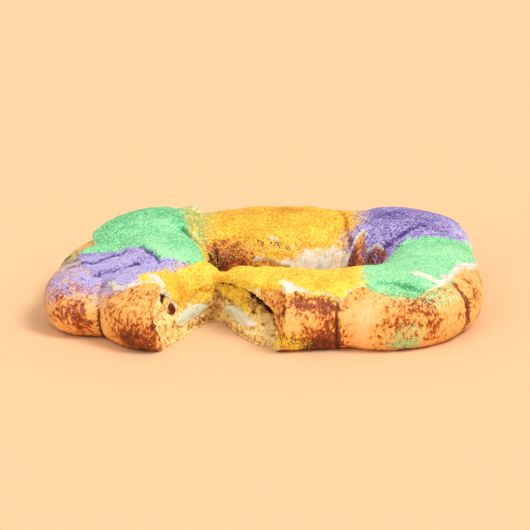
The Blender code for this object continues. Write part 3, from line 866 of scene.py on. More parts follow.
# ================================================================ colours and finishes
def add_node(tree, kind, settings=None, inputs=None):
    """Adds a node with its settings; an input takes a value, a socket or a node's first output."""
    made = tree.nodes.new(kind)
    for name, value in (settings or {}).items():
        setattr(made, name, value)
    for socket, value in (inputs or {}).items():
        if isinstance(value, bpy.types.Node):
            value = value.outputs[0]
        if isinstance(value, bpy.types.NodeSocket):
            tree.links.new(value, made.inputs[socket])
        else:
            made.inputs[socket].default_value = value
    return made


def new_finish(name):
    """A material that holds only its shader and output, with its node tree and the shader."""
    made = bpy.data.materials.new(name)
    made.use_nodes = True
    tree = made.node_tree
    tree.nodes.clear()
    shader = add_node(tree, "ShaderNodeBsdfPrincipled")
    add_node(tree, "ShaderNodeOutputMaterial", None, {"Surface": shader.outputs["BSDF"]})
    return made, tree, shader


def ramp_stops(ramp, stops):
    """Gives a colour ramp its stops, as (place, colour) pairs."""
    while len(ramp.elements) < len(stops):
        ramp.elements.new(0.5)
    for element, (place, colour) in zip(ramp.elements, stops):
        element.position = place
        element.color = colour


def crust_colour(tree, colours, place):
    """The colour of egg-washed crust, golden with crisp red-brown mottles, and its mottles for a bump."""
    flow = add_node(tree, "ShaderNodeUVMap", {"uv_map": "along_and_across"}).outputs["UV"]
    # The baked attribute is the crust's browning, with painted shade in its seams and in one gap.
    baked = add_node(tree, "ShaderNodeAttribute", {"attribute_name": "baked"}).outputs["Fac"]
    # Mottles of caught egg wash, about 2 mm wide and 4 mm long over the rope's round.
    stretched = add_node(
        tree, "ShaderNodeMapping", None, {"Vector": flow, "Scale": (1 / 0.0023, 1 / 0.0049, 1)}
    )
    mottle = add_node(
        tree, "ShaderNodeTexNoise", None,
        {"Vector": stretched, "Scale": 1.0, "Detail": 6.0, "Roughness": 0.72, "Distortion": 0.5},
    )
    patch = add_node(
        tree, "ShaderNodeTexNoise", None,
        {"Vector": place, "Scale": 1 / 0.019, "Detail": 4.0, "Roughness": 0.6, "Distortion": 0.4},
    )
    browned = add_node(tree, "ShaderNodeMath", {"operation": "MULTIPLY_ADD"}, {0: mottle, 1: 2.2, 2: baked})
    browned = add_node(
        tree, "ShaderNodeMath", {"operation": "MULTIPLY_ADD"}, {0: patch, 1: 1.4, 2: browned}
    )
    tone = add_node(
        tree, "ShaderNodeMapRange", None, {"Value": browned, "From Min": 1.36, "From Max": 2.62}
    )
    crust = add_node(tree, "ShaderNodeValToRGB", None, {"Fac": tone})
    golden, caught = colours.crust_golden, colours.crust_caught
    ramp_stops(
        crust.color_ramp,
        [
            (0.0, shade(golden, 1.12, 0.2)), (0.3, shade(golden, 1.0, 0.04)), (0.45, shade(golden, 0.84)),
            (0.5, shade(caught, 2.1)), (0.57, shade(caught, 1.15)), (0.74, shade(caught, 0.62)),
            (1.0, shade(caught, 0.2)),
        ],
    )
    return crust.outputs[0], mottle.outputs[0], patch.outputs[0]


def baked_crust_finish(colours):
    """Egg-washed sweet dough, oven browned: golden where it is thin, mottled red-brown where it caught,
    and painted darker in its seams as shade.
    """
    made, tree, shader = new_finish("baked_egg_wash_crust")
    place = add_node(tree, "ShaderNodeTexCoord").outputs["Object"]
    crust, mottle, patch = crust_colour(tree, colours, place)
    dust = add_node(tree, "ShaderNodeAttribute", {"attribute_name": "sugar_dust"})
    speck = add_node(
        tree, "ShaderNodeTexNoise", None,
        {"Vector": place, "Scale": 1 / 0.0016, "Detail": 3.0, "Roughness": 0.6},
    )
    height = add_node(
        tree, "ShaderNodeMath", {"operation": "MULTIPLY_ADD"}, {0: mottle, 1: 1.4, 2: speck}
    )
    bump = add_node(tree, "ShaderNodeBump", None, {"Strength": 0.5, "Distance": 0.001, "Height": height})
    rough = add_node(
        tree, "ShaderNodeMapRange", None,
        {"Value": patch, "From Min": 0.3, "From Max": 0.7, "To Min": 0.4, "To Max": 0.6},
    )
    tree.links.new(sugar_grain_colour(tree, colours, place, dust, crust), shader.inputs["Base Color"])
    tree.links.new(rough.outputs[0], shader.inputs["Roughness"])
    tree.links.new(bump.outputs[0], shader.inputs["Normal"])
    shader.inputs["Specular IOR Level"].default_value = 0.35
    return made


def shade(colour, factor=1.0, to_white=0.0):
    """A colour made darker or lighter by a factor, then mixed with white by a share."""
    return tuple(min(c * factor, 1.0) * (1 - to_white) + to_white for c in colour) + (1.0,)


# How dark the shade between grains is, as a share of the deepest grain's colour.
SUGAR_SHADES = {"gold": 0.72, "green": 0.45, "purple": 0.42}
GRAIN_CELL = 0.00085  # one crystal across, in the finishes
CLUMP_CELL = 0.0021  # a clump of paler or deeper sugar


def sugar_ramp(tree, pale, deep, shaded, tone):
    """One kind of sugar, from its palest grains through its deepest to the shade between them."""
    ramp = add_node(tree, "ShaderNodeValToRGB", None, {"Fac": tone})
    ramp_stops(ramp.color_ramp, [(0.0, shade(pale)), (0.75, shade(deep)), (1.0, shade(deep, shaded))])
    return ramp.outputs[0]


def sugar_grain_colour(tree, colours, place, amounts, under):
    """Colours grains of sugar by the red, green and blue of an attribute, over what lies under them."""
    cells = add_node(
        tree, "ShaderNodeTexVoronoi", {"feature": "F1"}, {"Vector": place, "Scale": 1 / GRAIN_CELL}
    )
    dice = add_node(tree, "ShaderNodeSeparateColor", None, {"Color": cells.outputs["Color"]})
    parts = add_node(tree, "ShaderNodeSeparateColor", None, {"Color": amounts.outputs["Color"]})
    tone = add_node(tree, "ShaderNodeAttribute", {"attribute_name": "sugar_tone"}).outputs["Fac"]
    clump = add_node(
        tree, "ShaderNodeTexNoise", None,
        {"Vector": place, "Scale": 1 / CLUMP_CELL, "Detail": 3.0, "Roughness": 0.6},
    )
    tone = add_node(tree, "ShaderNodeMath", {"operation": "MULTIPLY_ADD"}, {0: clump, 1: 2.0, 2: tone})
    tone = add_node(
        tree, "ShaderNodeMath", {"operation": "MULTIPLY_ADD"}, {0: dice.outputs[2], 1: 0.7, 2: tone}
    )
    tone = add_node(tree, "ShaderNodeMath", {"operation": "SUBTRACT"}, {0: tone, 1: 1.35})
    gold, green, purple = [
        sugar_ramp(tree, getattr(colours, kind + "_pale"), getattr(colours, kind + "_deep"), shaded, tone)
        for kind, shaded in SUGAR_SHADES.items()
    ]
    # A grain is gold below the gold share, green below gold and green together, and purple above both.
    total = add_node(
        tree, "ShaderNodeMath", {"operation": "ADD"}, {0: parts.outputs[0], 1: parts.outputs[1]}
    )
    total = add_node(tree, "ShaderNodeMath", {"operation": "ADD"}, {0: total, 1: parts.outputs[2]})
    safe = add_node(tree, "ShaderNodeMath", {"operation": "MAXIMUM"}, {0: total, 1: 0.001})
    gold_share = add_node(tree, "ShaderNodeMath", {"operation": "DIVIDE"}, {0: parts.outputs[0], 1: safe})
    purple_share = add_node(
        tree, "ShaderNodeMath", {"operation": "DIVIDE"}, {0: parts.outputs[2], 1: safe}
    )
    not_purple = add_node(tree, "ShaderNodeMath", {"operation": "SUBTRACT"}, {0: 1.0, 1: purple_share})
    past_gold = add_node(
        tree, "ShaderNodeMath", {"operation": "GREATER_THAN"}, {0: dice.outputs[0], 1: gold_share}
    )
    past_green = add_node(
        tree, "ShaderNodeMath", {"operation": "GREATER_THAN"}, {0: dice.outputs[0], 1: not_purple}
    )
    grain = add_node(
        tree, "ShaderNodeMix", {"data_type": "RGBA"}, {"Factor": past_gold, "A": gold, "B": green}
    )
    grain = add_node(
        tree, "ShaderNodeMix", {"data_type": "RGBA"},
        {"Factor": past_green, "A": grain.outputs["Result"], "B": purple},
    )
    # A place holds a grain where the dice fall under the sugar's cover, with a soft edge between grains.
    lies = add_node(tree, "ShaderNodeMath", {"operation": "MULTIPLY_ADD"}, {0: total, 1: 1.35, 2: -0.05})
    lies = add_node(tree, "ShaderNodeMath", {"operation": "SUBTRACT"}, {0: lies, 1: dice.outputs[1]})
    lies = add_node(tree, "ShaderNodeMapRange", None, {"Value": lies, "From Max": 0.2})
    sugared = add_node(
        tree, "ShaderNodeMix", {"data_type": "RGBA"},
        {"Factor": lies, "A": under, "B": grain.outputs["Result"]},
    )
    return sugared.outputs["Result"]


def sugared_icing_finish(colours):
    """Powdered-sugar icing that set dull white, tinted by the coloured sugar pressed into it."""
    made, tree, shader = new_finish("set_sugar_icing")
    place = add_node(tree, "ShaderNodeTexCoord").outputs["Object"]
    amounts = add_node(tree, "ShaderNodeAttribute", {"attribute_name": "sugar"})
    cloud = add_node(
        tree, "ShaderNodeTexNoise", None,
        {"Vector": place, "Scale": 1 / 0.007, "Detail": 5.0, "Roughness": 0.65},
    )
    white = add_node(tree, "ShaderNodeValToRGB", None, {"Fac": cloud})
    ramp_stops(
        white.color_ramp,
        [
            (0.3, shade(colours.icing, 0.6)), (0.5, shade(colours.icing, 0.93)),
            (0.68, shade(colours.icing, 1, 0.5)),
        ],
    )
    sugared = sugar_grain_colour(tree, colours, place, amounts, white)
    grains = add_node(
        tree, "ShaderNodeTexVoronoi", {"feature": "F1"}, {"Vector": place, "Scale": 1 / GRAIN_CELL}
    )
    thickest = add_node(
        tree, "ShaderNodeSeparateColor", {"mode": "HSV"}, {"Color": amounts.outputs["Color"]}
    )
    rough_share = add_node(
        tree, "ShaderNodeMapRange", None,
        {"Value": thickest.outputs[2], "From Min": 0.1, "From Max": 0.6, "To Min": 0.0, "To Max": 0.5},
    )
    bump = add_node(
        tree, "ShaderNodeBump", {"invert": True},
        {"Strength": rough_share, "Distance": 0.0006, "Height": grains.outputs["Distance"]},
    )
    tree.links.new(sugared, shader.inputs["Base Color"])
    tree.links.new(bump.outputs[0], shader.inputs["Normal"])
    shader.inputs["Roughness"].default_value = 0.5
    shader.inputs["Specular IOR Level"].default_value = 0.4
    return made


# How the torn dough darkens as it is browner and as its painted shade deepens: places on its ramp and their
# colours.
CRUMB_DARKENING_TONES = [(0.52, "#E8BE74"), (0.68, "#B8823C"), (0.84, "#713A10"), (1.0, "#2C1206")]


def torn_crumb_finish(colours):
    """The inside of the dough where it was torn: pale, moist and open, with browner spots and painted shade
    in its hollows.
    """
    made, tree, shader = new_finish("torn_dough_crumb")
    place = add_node(tree, "ShaderNodeTexCoord").outputs["Object"]
    dust = add_node(tree, "ShaderNodeAttribute", {"attribute_name": "sugar_dust"})
    crust, _, _ = crust_colour(tree, colours, place)
    # Open crumb: strands and holes about 4 mm apart, the holes painted darker as shade and the strands
    # paler as painted highlight.
    holes = add_node(
        tree, "ShaderNodeTexNoise", None,
        {"Vector": place, "Scale": 1 / 0.0036, "Detail": 4.0, "Roughness": 0.62},
    )
    toasted = add_node(tree, "ShaderNodeAttribute", {"attribute_name": "toasted"}).outputs["Fac"]
    # Painted shade in the holes, added to the browning and painted shade stored on the mesh.
    hollow = add_node(tree, "ShaderNodeMath", {"operation": "MULTIPLY_ADD"}, {0: holes, 1: -1.3, 2: 1.08})
    hollow = add_node(tree, "ShaderNodeMath", {"operation": "ADD"}, {0: hollow, 1: toasted})
    crumb = add_node(tree, "ShaderNodeValToRGB", None, {"Fac": hollow})
    ramp_stops(
        crumb.color_ramp,
        [
            (0.1, shade(colours.crumb, 1.1, 0.25)), (0.36, shade(colours.crumb)),
            *[(stop, to_linear(code)) for stop, code in CRUMB_DARKENING_TONES],
        ],
    )
    skin = add_node(tree, "ShaderNodeAttribute", {"attribute_name": "skin"}).outputs["Fac"]
    skin = add_node(tree, "ShaderNodeMapRange", None, {"Value": skin, "From Min": 0.42, "From Max": 0.58})
    skinned = add_node(
        tree, "ShaderNodeMix", {"data_type": "RGBA"}, {"Factor": skin, "A": crumb, "B": crust}
    )
    smeared = add_node(tree, "ShaderNodeAttribute", {"attribute_name": "smeared"}).outputs["Fac"]
    smeared = add_node(
        tree, "ShaderNodeMix", {"data_type": "RGBA"},
        {"Factor": smeared, "A": skinned.outputs["Result"], "B": shade(colours.icing, 1.0, 0.3)},
    )
    bump = add_node(tree, "ShaderNodeBump", None, {"Strength": 0.8, "Distance": 0.0022, "Height": holes})
    dusted = sugar_grain_colour(tree, colours, place, dust, smeared.outputs["Result"])
    tree.links.new(dusted, shader.inputs["Base Color"])
    tree.links.new(bump.outputs[0], shader.inputs["Normal"])
    shader.inputs["Roughness"].default_value = 0.6
    shader.inputs["Specular IOR Level"].default_value = 0.3
    return made


def cream_finish(colours):
    """Sweetened cream cheese: smooth, moist and glossy, drawn out in streaks along the bite."""
    made, tree, shader = new_finish("cream_cheese_filling")
    place = add_node(tree, "ShaderNodeTexCoord").outputs["Object"]
    # Streaks about 12 mm long and 2.4 mm high.
    pulled = add_node(tree, "ShaderNodeMapping", None, {"Vector": place, "Scale": (80.0, 80.0, 420.0)})
    streak = add_node(
        tree, "ShaderNodeTexNoise", None,
        {"Vector": pulled, "Scale": 1.0, "Detail": 3.0, "Roughness": 0.55, "Distortion": 0.9},
    )
    tone = add_node(tree, "ShaderNodeValToRGB", None, {"Fac": streak})
    ramp_stops(
        tone.color_ramp,
        [
            (0.32, shade(colours.cream, 0.84)), (0.5, shade(colours.cream)),
            (0.66, shade(colours.cream, 1, 0.7)),
        ],
    )
    bump = add_node(
        tree, "ShaderNodeBump", None, {"Strength": 0.45, "Distance": 0.0011, "Height": streak}
    )
    tree.links.new(tone.outputs[0], shader.inputs["Base Color"])
    tree.links.new(bump.outputs[0], shader.inputs["Normal"])
    shader.inputs["Roughness"].default_value = 0.18
    shader.inputs["Coat Weight"].default_value = 0.5
    shader.inputs["Coat Roughness"].default_value = 0.08
    return made


def sugar_crystal_finish(name, pale, deep, shaded):
    """Coloured sanding sugar: clear crystals with a dyed skin, each a little paler or deeper."""
    made, tree, shader = new_finish(name)
    tone = add_node(tree, "ShaderNodeAttribute", {"attribute_name": "tone"}).outputs["Fac"]
    tree.links.new(sugar_ramp(tree, pale, deep, shaded, tone), shader.inputs["Base Color"])
    shader.inputs["Roughness"].default_value = 0.5
    shader.inputs["Specular IOR Level"].default_value = 0.25
    return made


def floor_finish(colour):
    """Painted board under the cake, plain and matte."""
    made, _, shader = new_finish("matte_painted_board")
    shader.inputs["Base Color"].default_value = (*colour, 1.0)
    shader.inputs["Roughness"].default_value = 0.9
    shader.inputs["Specular IOR Level"].default_value = 0.1
    return made


# ================================================================ per-vertex facts for the finishes
def mesh_points(mesh):
    """A mesh's points as an array."""
    return read_array(mesh.vertices, "co", 3).astype(float)


def corner_slots(mesh):
    """Each face corner's point, and the number of the material on its face."""
    slots = read_array(mesh.polygons, "material_index", kind=np.int32)
    totals = read_array(mesh.polygons, "loop_total", kind=np.int32)
    return read_array(mesh.loops, "vertex_index", kind=np.int32), np.repeat(slots, totals)


def vertex_distances(mesh):
    """Each point's distance along the ring and from the crest, from the UV map; torn faces have none."""
    corners, slots = corner_slots(mesh)
    pairs = read_array(mesh.uv_layers["along_and_across"].data, "uv", 2)
    distances = np.full((len(mesh.vertices), 2), np.nan)
    distances[corners[slots == 0]] = pairs[slots == 0]
    return distances[:, 0], distances[:, 1]


def store_value(mesh, name, values):
    """Stores a number for each point of a mesh."""
    layer = mesh.attributes.new(name, "FLOAT", "POINT")
    layer.data.foreach_set("value", values.astype(np.float32))


def store_colour(mesh, name, red, green, blue):
    """Stores three shares for each point of a mesh, as a colour."""
    layer = mesh.attributes.new(name, "FLOAT_COLOR", "POINT")
    packed = np.stack([red, green, blue, np.ones_like(red)], axis=1).astype(np.float32)
    layer.data.foreach_set("color", packed.ravel())


# How much the crust caught in the oven, with painted shade in a dark gap by the hole at (79, 33, 32):
# x, y, z, reach across, reach in height, amount.
CAUGHT_AND_SHADED_PLACES = [
    (56, -118, 26, 20, 18, 0.34), (32, -122, 9, 30, 9, 0.62), (20, -116, 22, 14, 14, -0.1),
    (36, -112, 42, 26, 8, 0.26), (80, -118, 26, 16, 28, -0.45), (128, -116, 36, 22, 14, 0.14),
    (112, -122, 20, 22, 8, -0.1), (150, -104, 20, 22, 14, 0.1), (174, -84, 26, 12, 14, -0.3),
    (170, -70, 44, 16, 10, -0.05), (79, 33, 32, 5, 16, 0.7), (-140, -89, 34, 9, 16, -0.3),
    (-134, -102, 16, 8, 14, -0.28), (-118, -110, 42, 14, 10, -0.12), (-102, -114, 44, 12, 10, 0.18),
    (-112, -122, 12, 26, 13, 0.56), (-158, -84, 18, 26, 20, 0.24), (-180, -60, 30, 24, 22, 0.2),
    (-176, 10, 34, 20, 22, 0.2), (0, 40, 40, 40, 20, 0.12), (-42, 30, 28, 18, 14, 0.5),
    (-14, 38, 30, 14, 7, 0.3), (-50, 30, 34, 24, 24, 0.24), (100, 24, 40, 22, 20, 0.45),
    (-62, -116, 10, 30, 10, -0.2), (-80, -85, 28, 9, 9, 0.62), (92, 26, 38, 9, 16, 0.3),
    (2, 43, 46, 8, 4, 0.5), (10, 41, 45, 7, 4, 0.7), (18, 38, 42, 7, 4, 0.6),
]


# Where the torn dough is brown from the filling's spice and the oven, in the same way, with painted shade
# in the pit and in a line under the flap; the two lowest spots darken the wall's foot by the board.
CRUMB_BROWN_AND_SHADE_SPOTS = [
    (-40, -36, 30, 10, 8, 0.3), (-28, -48, 28, 12, 8, 0.36), (-16, -66, 28, 12, 7, 0.36),
    (-6, -80, 24, 8, 5, 0.1), (-44, -34, 12, 8, 12, 0.2), (-72, -76, 26, 10, 4, 0.2),
    (-87, -97, 42, 4, 4, 0.9), (-50, -42, 24, 8, 5, 0.25), (-60, -54, 4, 24, 3, 0.25),
    (-20, -70, 3, 24, 3, 0.2),
]


def spots_of(table, points):
    """The sum of soft spots at points: each spot is x, y, z, reach across, reach in height and amount."""
    total = np.zeros(len(points))
    for x, y, z, across, height, amount in table:
        away = np.hypot(points[:, 0] - x * MM, points[:, 1] - y * MM) / (across * MM)
        away = np.hypot(away, (points[:, 2] - z * MM) / (height * MM))
        total += amount * np.exp(-(away**2))
    return total


def crease_at(along, arc):
    """How close places lie to a seam between lumps, from 0 to 1, read from the ring's form."""
    form = ring_form()
    stations = len(form["along"])
    crease = np.zeros(len(along))
    known = ~np.isnan(along)
    station = np.clip((along[known] / form["length"] * stations).round().astype(int), 0, stations - 1)
    for number in np.unique(station):
        mine = np.flatnonzero(known)[station == number]
        order = np.argsort(form["arc"][number])
        crease[mine] = np.interp(arc[mine], form["arc"][number][order], form["crease"][number][order])
    return crease


def crust_browning_and_seam_shade(points, crease):
    """How brown the crust is painted, beyond its average, with painted shade in its seams and darker
    towards the board.
    """
    foot = np.exp(-((points[:, 2] / (3.5 * MM)) ** 2))
    # Painted shade in the seams between lumps, deeper on the cake's left end; the foot term darkens the
    # crust towards the board.
    seam = 0.2 * crease + crease**3 * (0.5 + 0.2 * rise(-points[:, 0], 100 * MM, 20 * MM))
    return 0.12 * noise(points, 30 * MM, 81) + seam + spots_of(CAUGHT_AND_SHADED_PLACES, points) + 0.2 * foot


# The edge of the crust on the left wall, as x by height.
LEFT_EDGE = [(0, -86), (8, -87), (20, -92), (30, -95), (38, -94), (46, -89)]
# A flake of dark crust folded onto the left wall: its middle and half sizes.
FLAKE = ((-80, -85, 27.5), (5, 7, 6.5))


def crust_skin(points):
    """How surely places on the torn wall still carry crust, from 0 to 1: at both corners and on a flake."""
    ragged = 0.7 * MM * noise(points, 3 * MM, 33)
    above_roof = points[:, 2] - read_table(ROOF_EDGE, points[:, 0]) + ragged
    corner = rise(points[:, 0], -3 * MM, 4 * MM) * rise(-points[:, 1], 88 * MM, 3 * MM)
    corner = corner * rise(above_roof, 0.6 * MM, 1.2 * MM)
    away = (points - np.array(FLAKE[0]) * MM) / (np.array(FLAKE[1]) * MM)
    flake = 1 - rise(np.linalg.norm(away, axis=1) + 0.3 * noise(points, 4 * MM, 34), 1, 0.15)
    left_edge = read_table(LEFT_EDGE, points[:, 2]) - points[:, 0] + 1.5 * ragged
    left = rise(left_edge, 0, 1 * MM) * rise(-points[:, 1], 94 * MM, 2 * MM)
    return np.maximum.reduce([corner, flake, left])


# Where icing smeared down the torn face of the left flap: x, y, z, reach across, reach in height, amount.
SMEARED_ICING = [
    (-87, -95, 49, 2.6, 3, 1), (-85, -92.5, 46, 2.6, 3, 1), (-83.4, -90, 43, 2.6, 3, 1),
    (-81, -86, 38.5, 2.6, 3, 1), (-79, -81.5, 34, 2.6, 3, 1), (-77, -78, 29.5, 2.4, 3, 1),
    (-75.5, -75, 25.5, 2.0, 2.4, 0.9),
]


def crumb_browning_and_shade(points):
    """How dark the torn dough is: browned in spots, with painted shade in recesses, slit, pocket and under
    the roof.
    """
    depth = distance_to_wall(points)
    right = rise(points[:, 0], -36 * MM, 4 * MM)
    under_roof = read_table(ROOF_EDGE, points[:, 0]) - points[:, 2]
    # A band of painted shade deep under the roof, on the bite's right.
    shade_band = rise(depth, 6 * MM, 4 * MM) * (1 - rise(under_roof, 6 * MM, 5 * MM)) * right
    shade_band *= 0.25 + 0.75 * rise(points[:, 0], -20 * MM, 8 * MM)
    # Painted shade and highlight: the torn face is darker in its recesses and lighter where it stands out.
    pores = 1 - rise(tear_noise(points), -1 * MM, 3 * MM)
    skin = crust_skin(points)
    # Painted shade in the pocket under the roof.
    pocket_shade = rise(points[:, 0], -17 * MM, 3 * MM) * rise(points[:, 2], 23 * MM, 3 * MM) * (under_roof > 0)
    browning_and_shade = 0.02 + 0.08 * noise(points, 7 * MM, 35) - 0.3 * pores + 0.4 * shade_band
    browning_and_shade += slit_shade_share(points) + 0.12 * pocket_shade - 1.2 * skin * (1 - skin)
    # Painted shade in the hollows between the chunks along the foot of the right wall.
    chunky = rise(points[:, 0], -16 * MM, 6 * MM) * (points[:, 2] < 19 * MM)
    browning_and_shade += 0.16 * noise(points, 5.5 * MM, 15) * chunky
    return browning_and_shade + spots_of(CRUMB_BROWN_AND_SHADE_SPOTS, points)


# How far below the torn edge the slit of painted shade lies, by x.
SLIT_WIDTH = [(-36, 2.2), (-24, 3.2), (-14, 3.4), (0, 3.6)]


def slit_shade_share(points):
    """How surely places lie in the slit of painted shade just under the torn edge of the roof."""
    under_roof = read_table(ROOF_EDGE, points[:, 0]) - points[:, 2]
    wide = read_table(SLIT_WIDTH, points[:, 0])
    ragged = 0.8 * MM * noise(points, 4 * MM, 36)
    slit = np.exp(-(((under_roof - wide + ragged) / (0.8 * wide)) ** 2))
    ends = rise(points[:, 0], -37 * MM, 3 * MM) * (1 - 0.85 * rise(points[:, 0], 5 * MM, 3 * MM))
    return slit * rise(distance_to_wall(points), 3 * MM, 2 * MM) * ends


def lay_out_torn_faces(mesh):
    """Gives the torn faces a place in the crust's own map, for the crust that they carry."""
    corners, slots = corner_slots(mesh)
    layer = mesh.uv_layers["along_and_across"]
    pairs = read_array(layer.data, "uv", 2)
    pairs[slots == 1] = mesh_points(mesh)[corners[slots == 1]][:, (0, 2)]
    layer.data.foreach_set("uv", pairs.ravel())
    mesh.update()


GOLD, GREEN, PURPLE = 0, 1, 2
# Sugar that fell on the bare crust and crumb: x, y, z, reach, amount and which colour.
FALLEN_SUGAR = [
    (-155, -55, 46, 26, 0.75, PURPLE), (-176, -50, 38, 22, 0.5, PURPLE), (-140, -75, 44, 20, 0.5, PURPLE),
    (-176, -20, 36, 22, 0.35, PURPLE), (-170, 15, 38, 18, 0.5, GREEN), (120, -119, 9, 17, 0.75, GREEN),
    (146, -103, 46, 11, 0.6, GREEN), (160, -95, 42, 10, 0.4, GREEN), (171, -83, 38, 7, 0.25, GREEN),
    (186, -50, 22, 12, 0.35, GREEN), (8, 43, 47, 20, 0.6, GOLD), (-22, 45, 49, 18, 0.6, GOLD),
    (15, -117, 7, 11, 1.0, GOLD), (28, -119, 10, 13, 0.5, GOLD), (-6, -88, 42, 9, 0.7, GOLD),
    (-53, -41, 27, 8, 1.4, GOLD), (-60, -52, 25, 7, 1.2, GOLD), (-70, -68, 25, 7, 1.0, GOLD),
    (-46, -35, 29, 7, 1.0, GOLD), (-4, -82, 27, 9, 0.25, GOLD), (95, 26, 42, 14, 0.3, PURPLE),
]


def fallen_sugar(points, along, arc):
    """The loose sugar of each colour on the dough: a fringe past the icing, and what fell elsewhere."""
    outer, hole, strip = edge_reaches(np.nan_to_num(along), np.nan_to_num(arc))
    past = np.maximum.reduce([-outer / (4 * MM), -hole / (9 * MM), -strip / (5 * MM)])
    fringe = 0.75 * np.exp(-np.maximum(past, 0)) * (0.6 + 0.9 * noise(points, 9 * MM, 92))
    fringe = np.where(np.isnan(along), 0, np.clip(fringe, 0, 1))
    amounts = np.stack(sugar_amounts(points[:, 0], points[:, 1])) * fringe
    for x, y, z, reach, amount, kind in FALLEN_SUGAR:
        away = np.linalg.norm(points - np.array([x, y, z]) * MM, axis=1) / (reach * MM)
        amounts[kind] += amount * np.exp(-(away**2))
    amounts[GOLD] += 1.3 * slid_sugar(points) * np.isnan(along)
    broken = 0.75 + 0.5 * noise(points, 5 * MM, 91)
    return np.clip(amounts * broken, 0, 1) * off_the_board(points)


# The lowest height that the sugar slid to, by x.
SLIDE_FOOT = [(-42, 25), (-30, 23), (-20, 21), (-12, 22)]


def slid_sugar(points):
    """The gold sugar that slid down the bite's right slope, from the slit under the roof to the cream."""
    low = read_table(SLIDE_FOOT, points[:, 0])
    low = low + 1.5 * MM * noise(points, 5 * MM, 93)
    across = rise(points[:, 0], -40 * MM, 3 * MM) * (1 - rise(points[:, 0], -13 * MM, 4 * MM))
    return rise(points[:, 2], low, 1.5 * MM) * across * (1 - 0.9 * slit_shade_share(points))


def off_the_board(points):
    """Keeps loose grains from being pushed into the board that the cake stands on."""
    return rise(points[:, 2], 2.6 * MM, 1 * MM)


# ================================================================ scattered grains
TONE_SPREAD = 0.4  # how much one crystal's tone differs from those around it


def grain_tree(name):
    """A tree that scatters small crystals over a surface, by an amount stored on it."""
    tree = bpy.data.node_groups.new(name, "GeometryNodeTree")
    sockets = [
        ("Surface", "NodeSocketGeometry"), ("Amount", "NodeSocketString"), ("Grains", "NodeSocketFloat"),
        ("Size", "NodeSocketFloat"), ("Seed", "NodeSocketInt"),
        ("Sides", "NodeSocketInt"), ("Rings", "NodeSocketInt"), ("Finish", "NodeSocketMaterial"),
    ]
    for label, kind in sockets:
        tree.interface.new_socket(label, in_out="INPUT", socket_type=kind)
    tree.interface.new_socket("Grains", in_out="OUTPUT", socket_type="NodeSocketGeometry")
    source = add_node(tree, "NodeGroupInput").outputs
    amount = add_node(
        tree, "GeometryNodeInputNamedAttribute", {"data_type": "FLOAT"}, {"Name": source["Amount"]}
    )
    density = add_node(
        tree, "ShaderNodeMath", {"operation": "MULTIPLY"}, {0: amount, 1: source["Grains"]}
    )
    spread = add_node(
        tree, "GeometryNodeDistributePointsOnFaces", {"distribute_method": "RANDOM"},
        {"Mesh": source["Surface"], "Density": density, "Seed": source["Seed"]},
    )
    radius = add_node(tree, "ShaderNodeMath", {"operation": "MULTIPLY"}, {0: source["Size"], 1: 0.5})
    crystal = add_node(
        tree, "GeometryNodeMeshUVSphere", None,
        {"Segments": source["Sides"], "Rings": source["Rings"], "Radius": radius},
    )
    turn = add_node(
        tree, "FunctionNodeRandomValue", {"data_type": "FLOAT_VECTOR"},
        {"Min": (0.0, 0.0, 0.0), "Max": (math.tau, math.tau, math.tau), "Seed": source["Seed"]},
    )
    stretch = add_node(
        tree, "FunctionNodeRandomValue", {"data_type": "FLOAT_VECTOR"},
        {"Min": (0.6, 0.6, 0.5), "Max": (1.2, 1.1, 1.0)},
    )
    placed = add_node(
        tree, "GeometryNodeInstanceOnPoints", None,
        {
            "Points": spread.outputs["Points"], "Instance": crystal.outputs["Mesh"],
            "Rotation": turn.outputs["Value"], "Scale": stretch.outputs["Value"],
        },
    )
    around = add_node(
        tree, "GeometryNodeInputNamedAttribute", {"data_type": "FLOAT"}, {"Name": "sugar_tone"}
    )
    own = add_node(
        tree, "FunctionNodeRandomValue", {"data_type": "FLOAT"},
        {2: -TONE_SPREAD, 3: TONE_SPREAD, "Seed": 5},
    )
    tone = add_node(tree, "ShaderNodeMath", {"operation": "ADD"}, {0: around, 1: own.outputs[1]})
    # The same clumps of paler and deeper sugar as in the finish under the grains.
    where = add_node(tree, "GeometryNodeInputPosition")
    clump = add_node(
        tree, "ShaderNodeTexNoise", None,
        {"Vector": where, "Scale": 1 / CLUMP_CELL, "Detail": 3.0, "Roughness": 0.6},
    )
    tone = add_node(tree, "ShaderNodeMath", {"operation": "MULTIPLY_ADD"}, {0: clump, 1: 2.0, 2: tone})
    tone = add_node(tree, "ShaderNodeMath", {"operation": "SUBTRACT"}, {0: tone, 1: 1.0})
    toned = add_node(
        tree, "GeometryNodeStoreNamedAttribute", {"data_type": "FLOAT", "domain": "INSTANCE"},
        {"Geometry": placed, "Name": "tone", "Value": tone},
    )
    real = add_node(tree, "GeometryNodeRealizeInstances", None, {"Geometry": toned})
    finished = add_node(
        tree, "GeometryNodeSetMaterial", None, {"Geometry": real, "Material": source["Finish"]}
    )
    add_node(tree, "NodeGroupOutput", None, {0: finished})
    return tree


def scatter(name, surface, values):
    """A piece made of grains scattered over a copy of a surface."""
    made = add_object(name, surface.data.copy())
    tree = grain_tree(name + "_scatter")
    modifier = made.modifiers.new("scatter", "NODES")
    sockets = [item for item in tree.interface.items_tree if item.in_out == "INPUT"]
    identifiers = {item.name: item.identifier for item in sockets}
    modifier.node_group = tree
    for label, value in values.items():
        modifier[identifiers[label]] = value
    settle(made)
    if len(made.data.polygons) == 0:
        raise RuntimeError(f"{name} has no grains")
    made.data.materials.clear()
    made.data.materials.append(values["Finish"])
    made.data.polygons.foreach_set("material_index", np.zeros(len(made.data.polygons), np.int32))
    return made


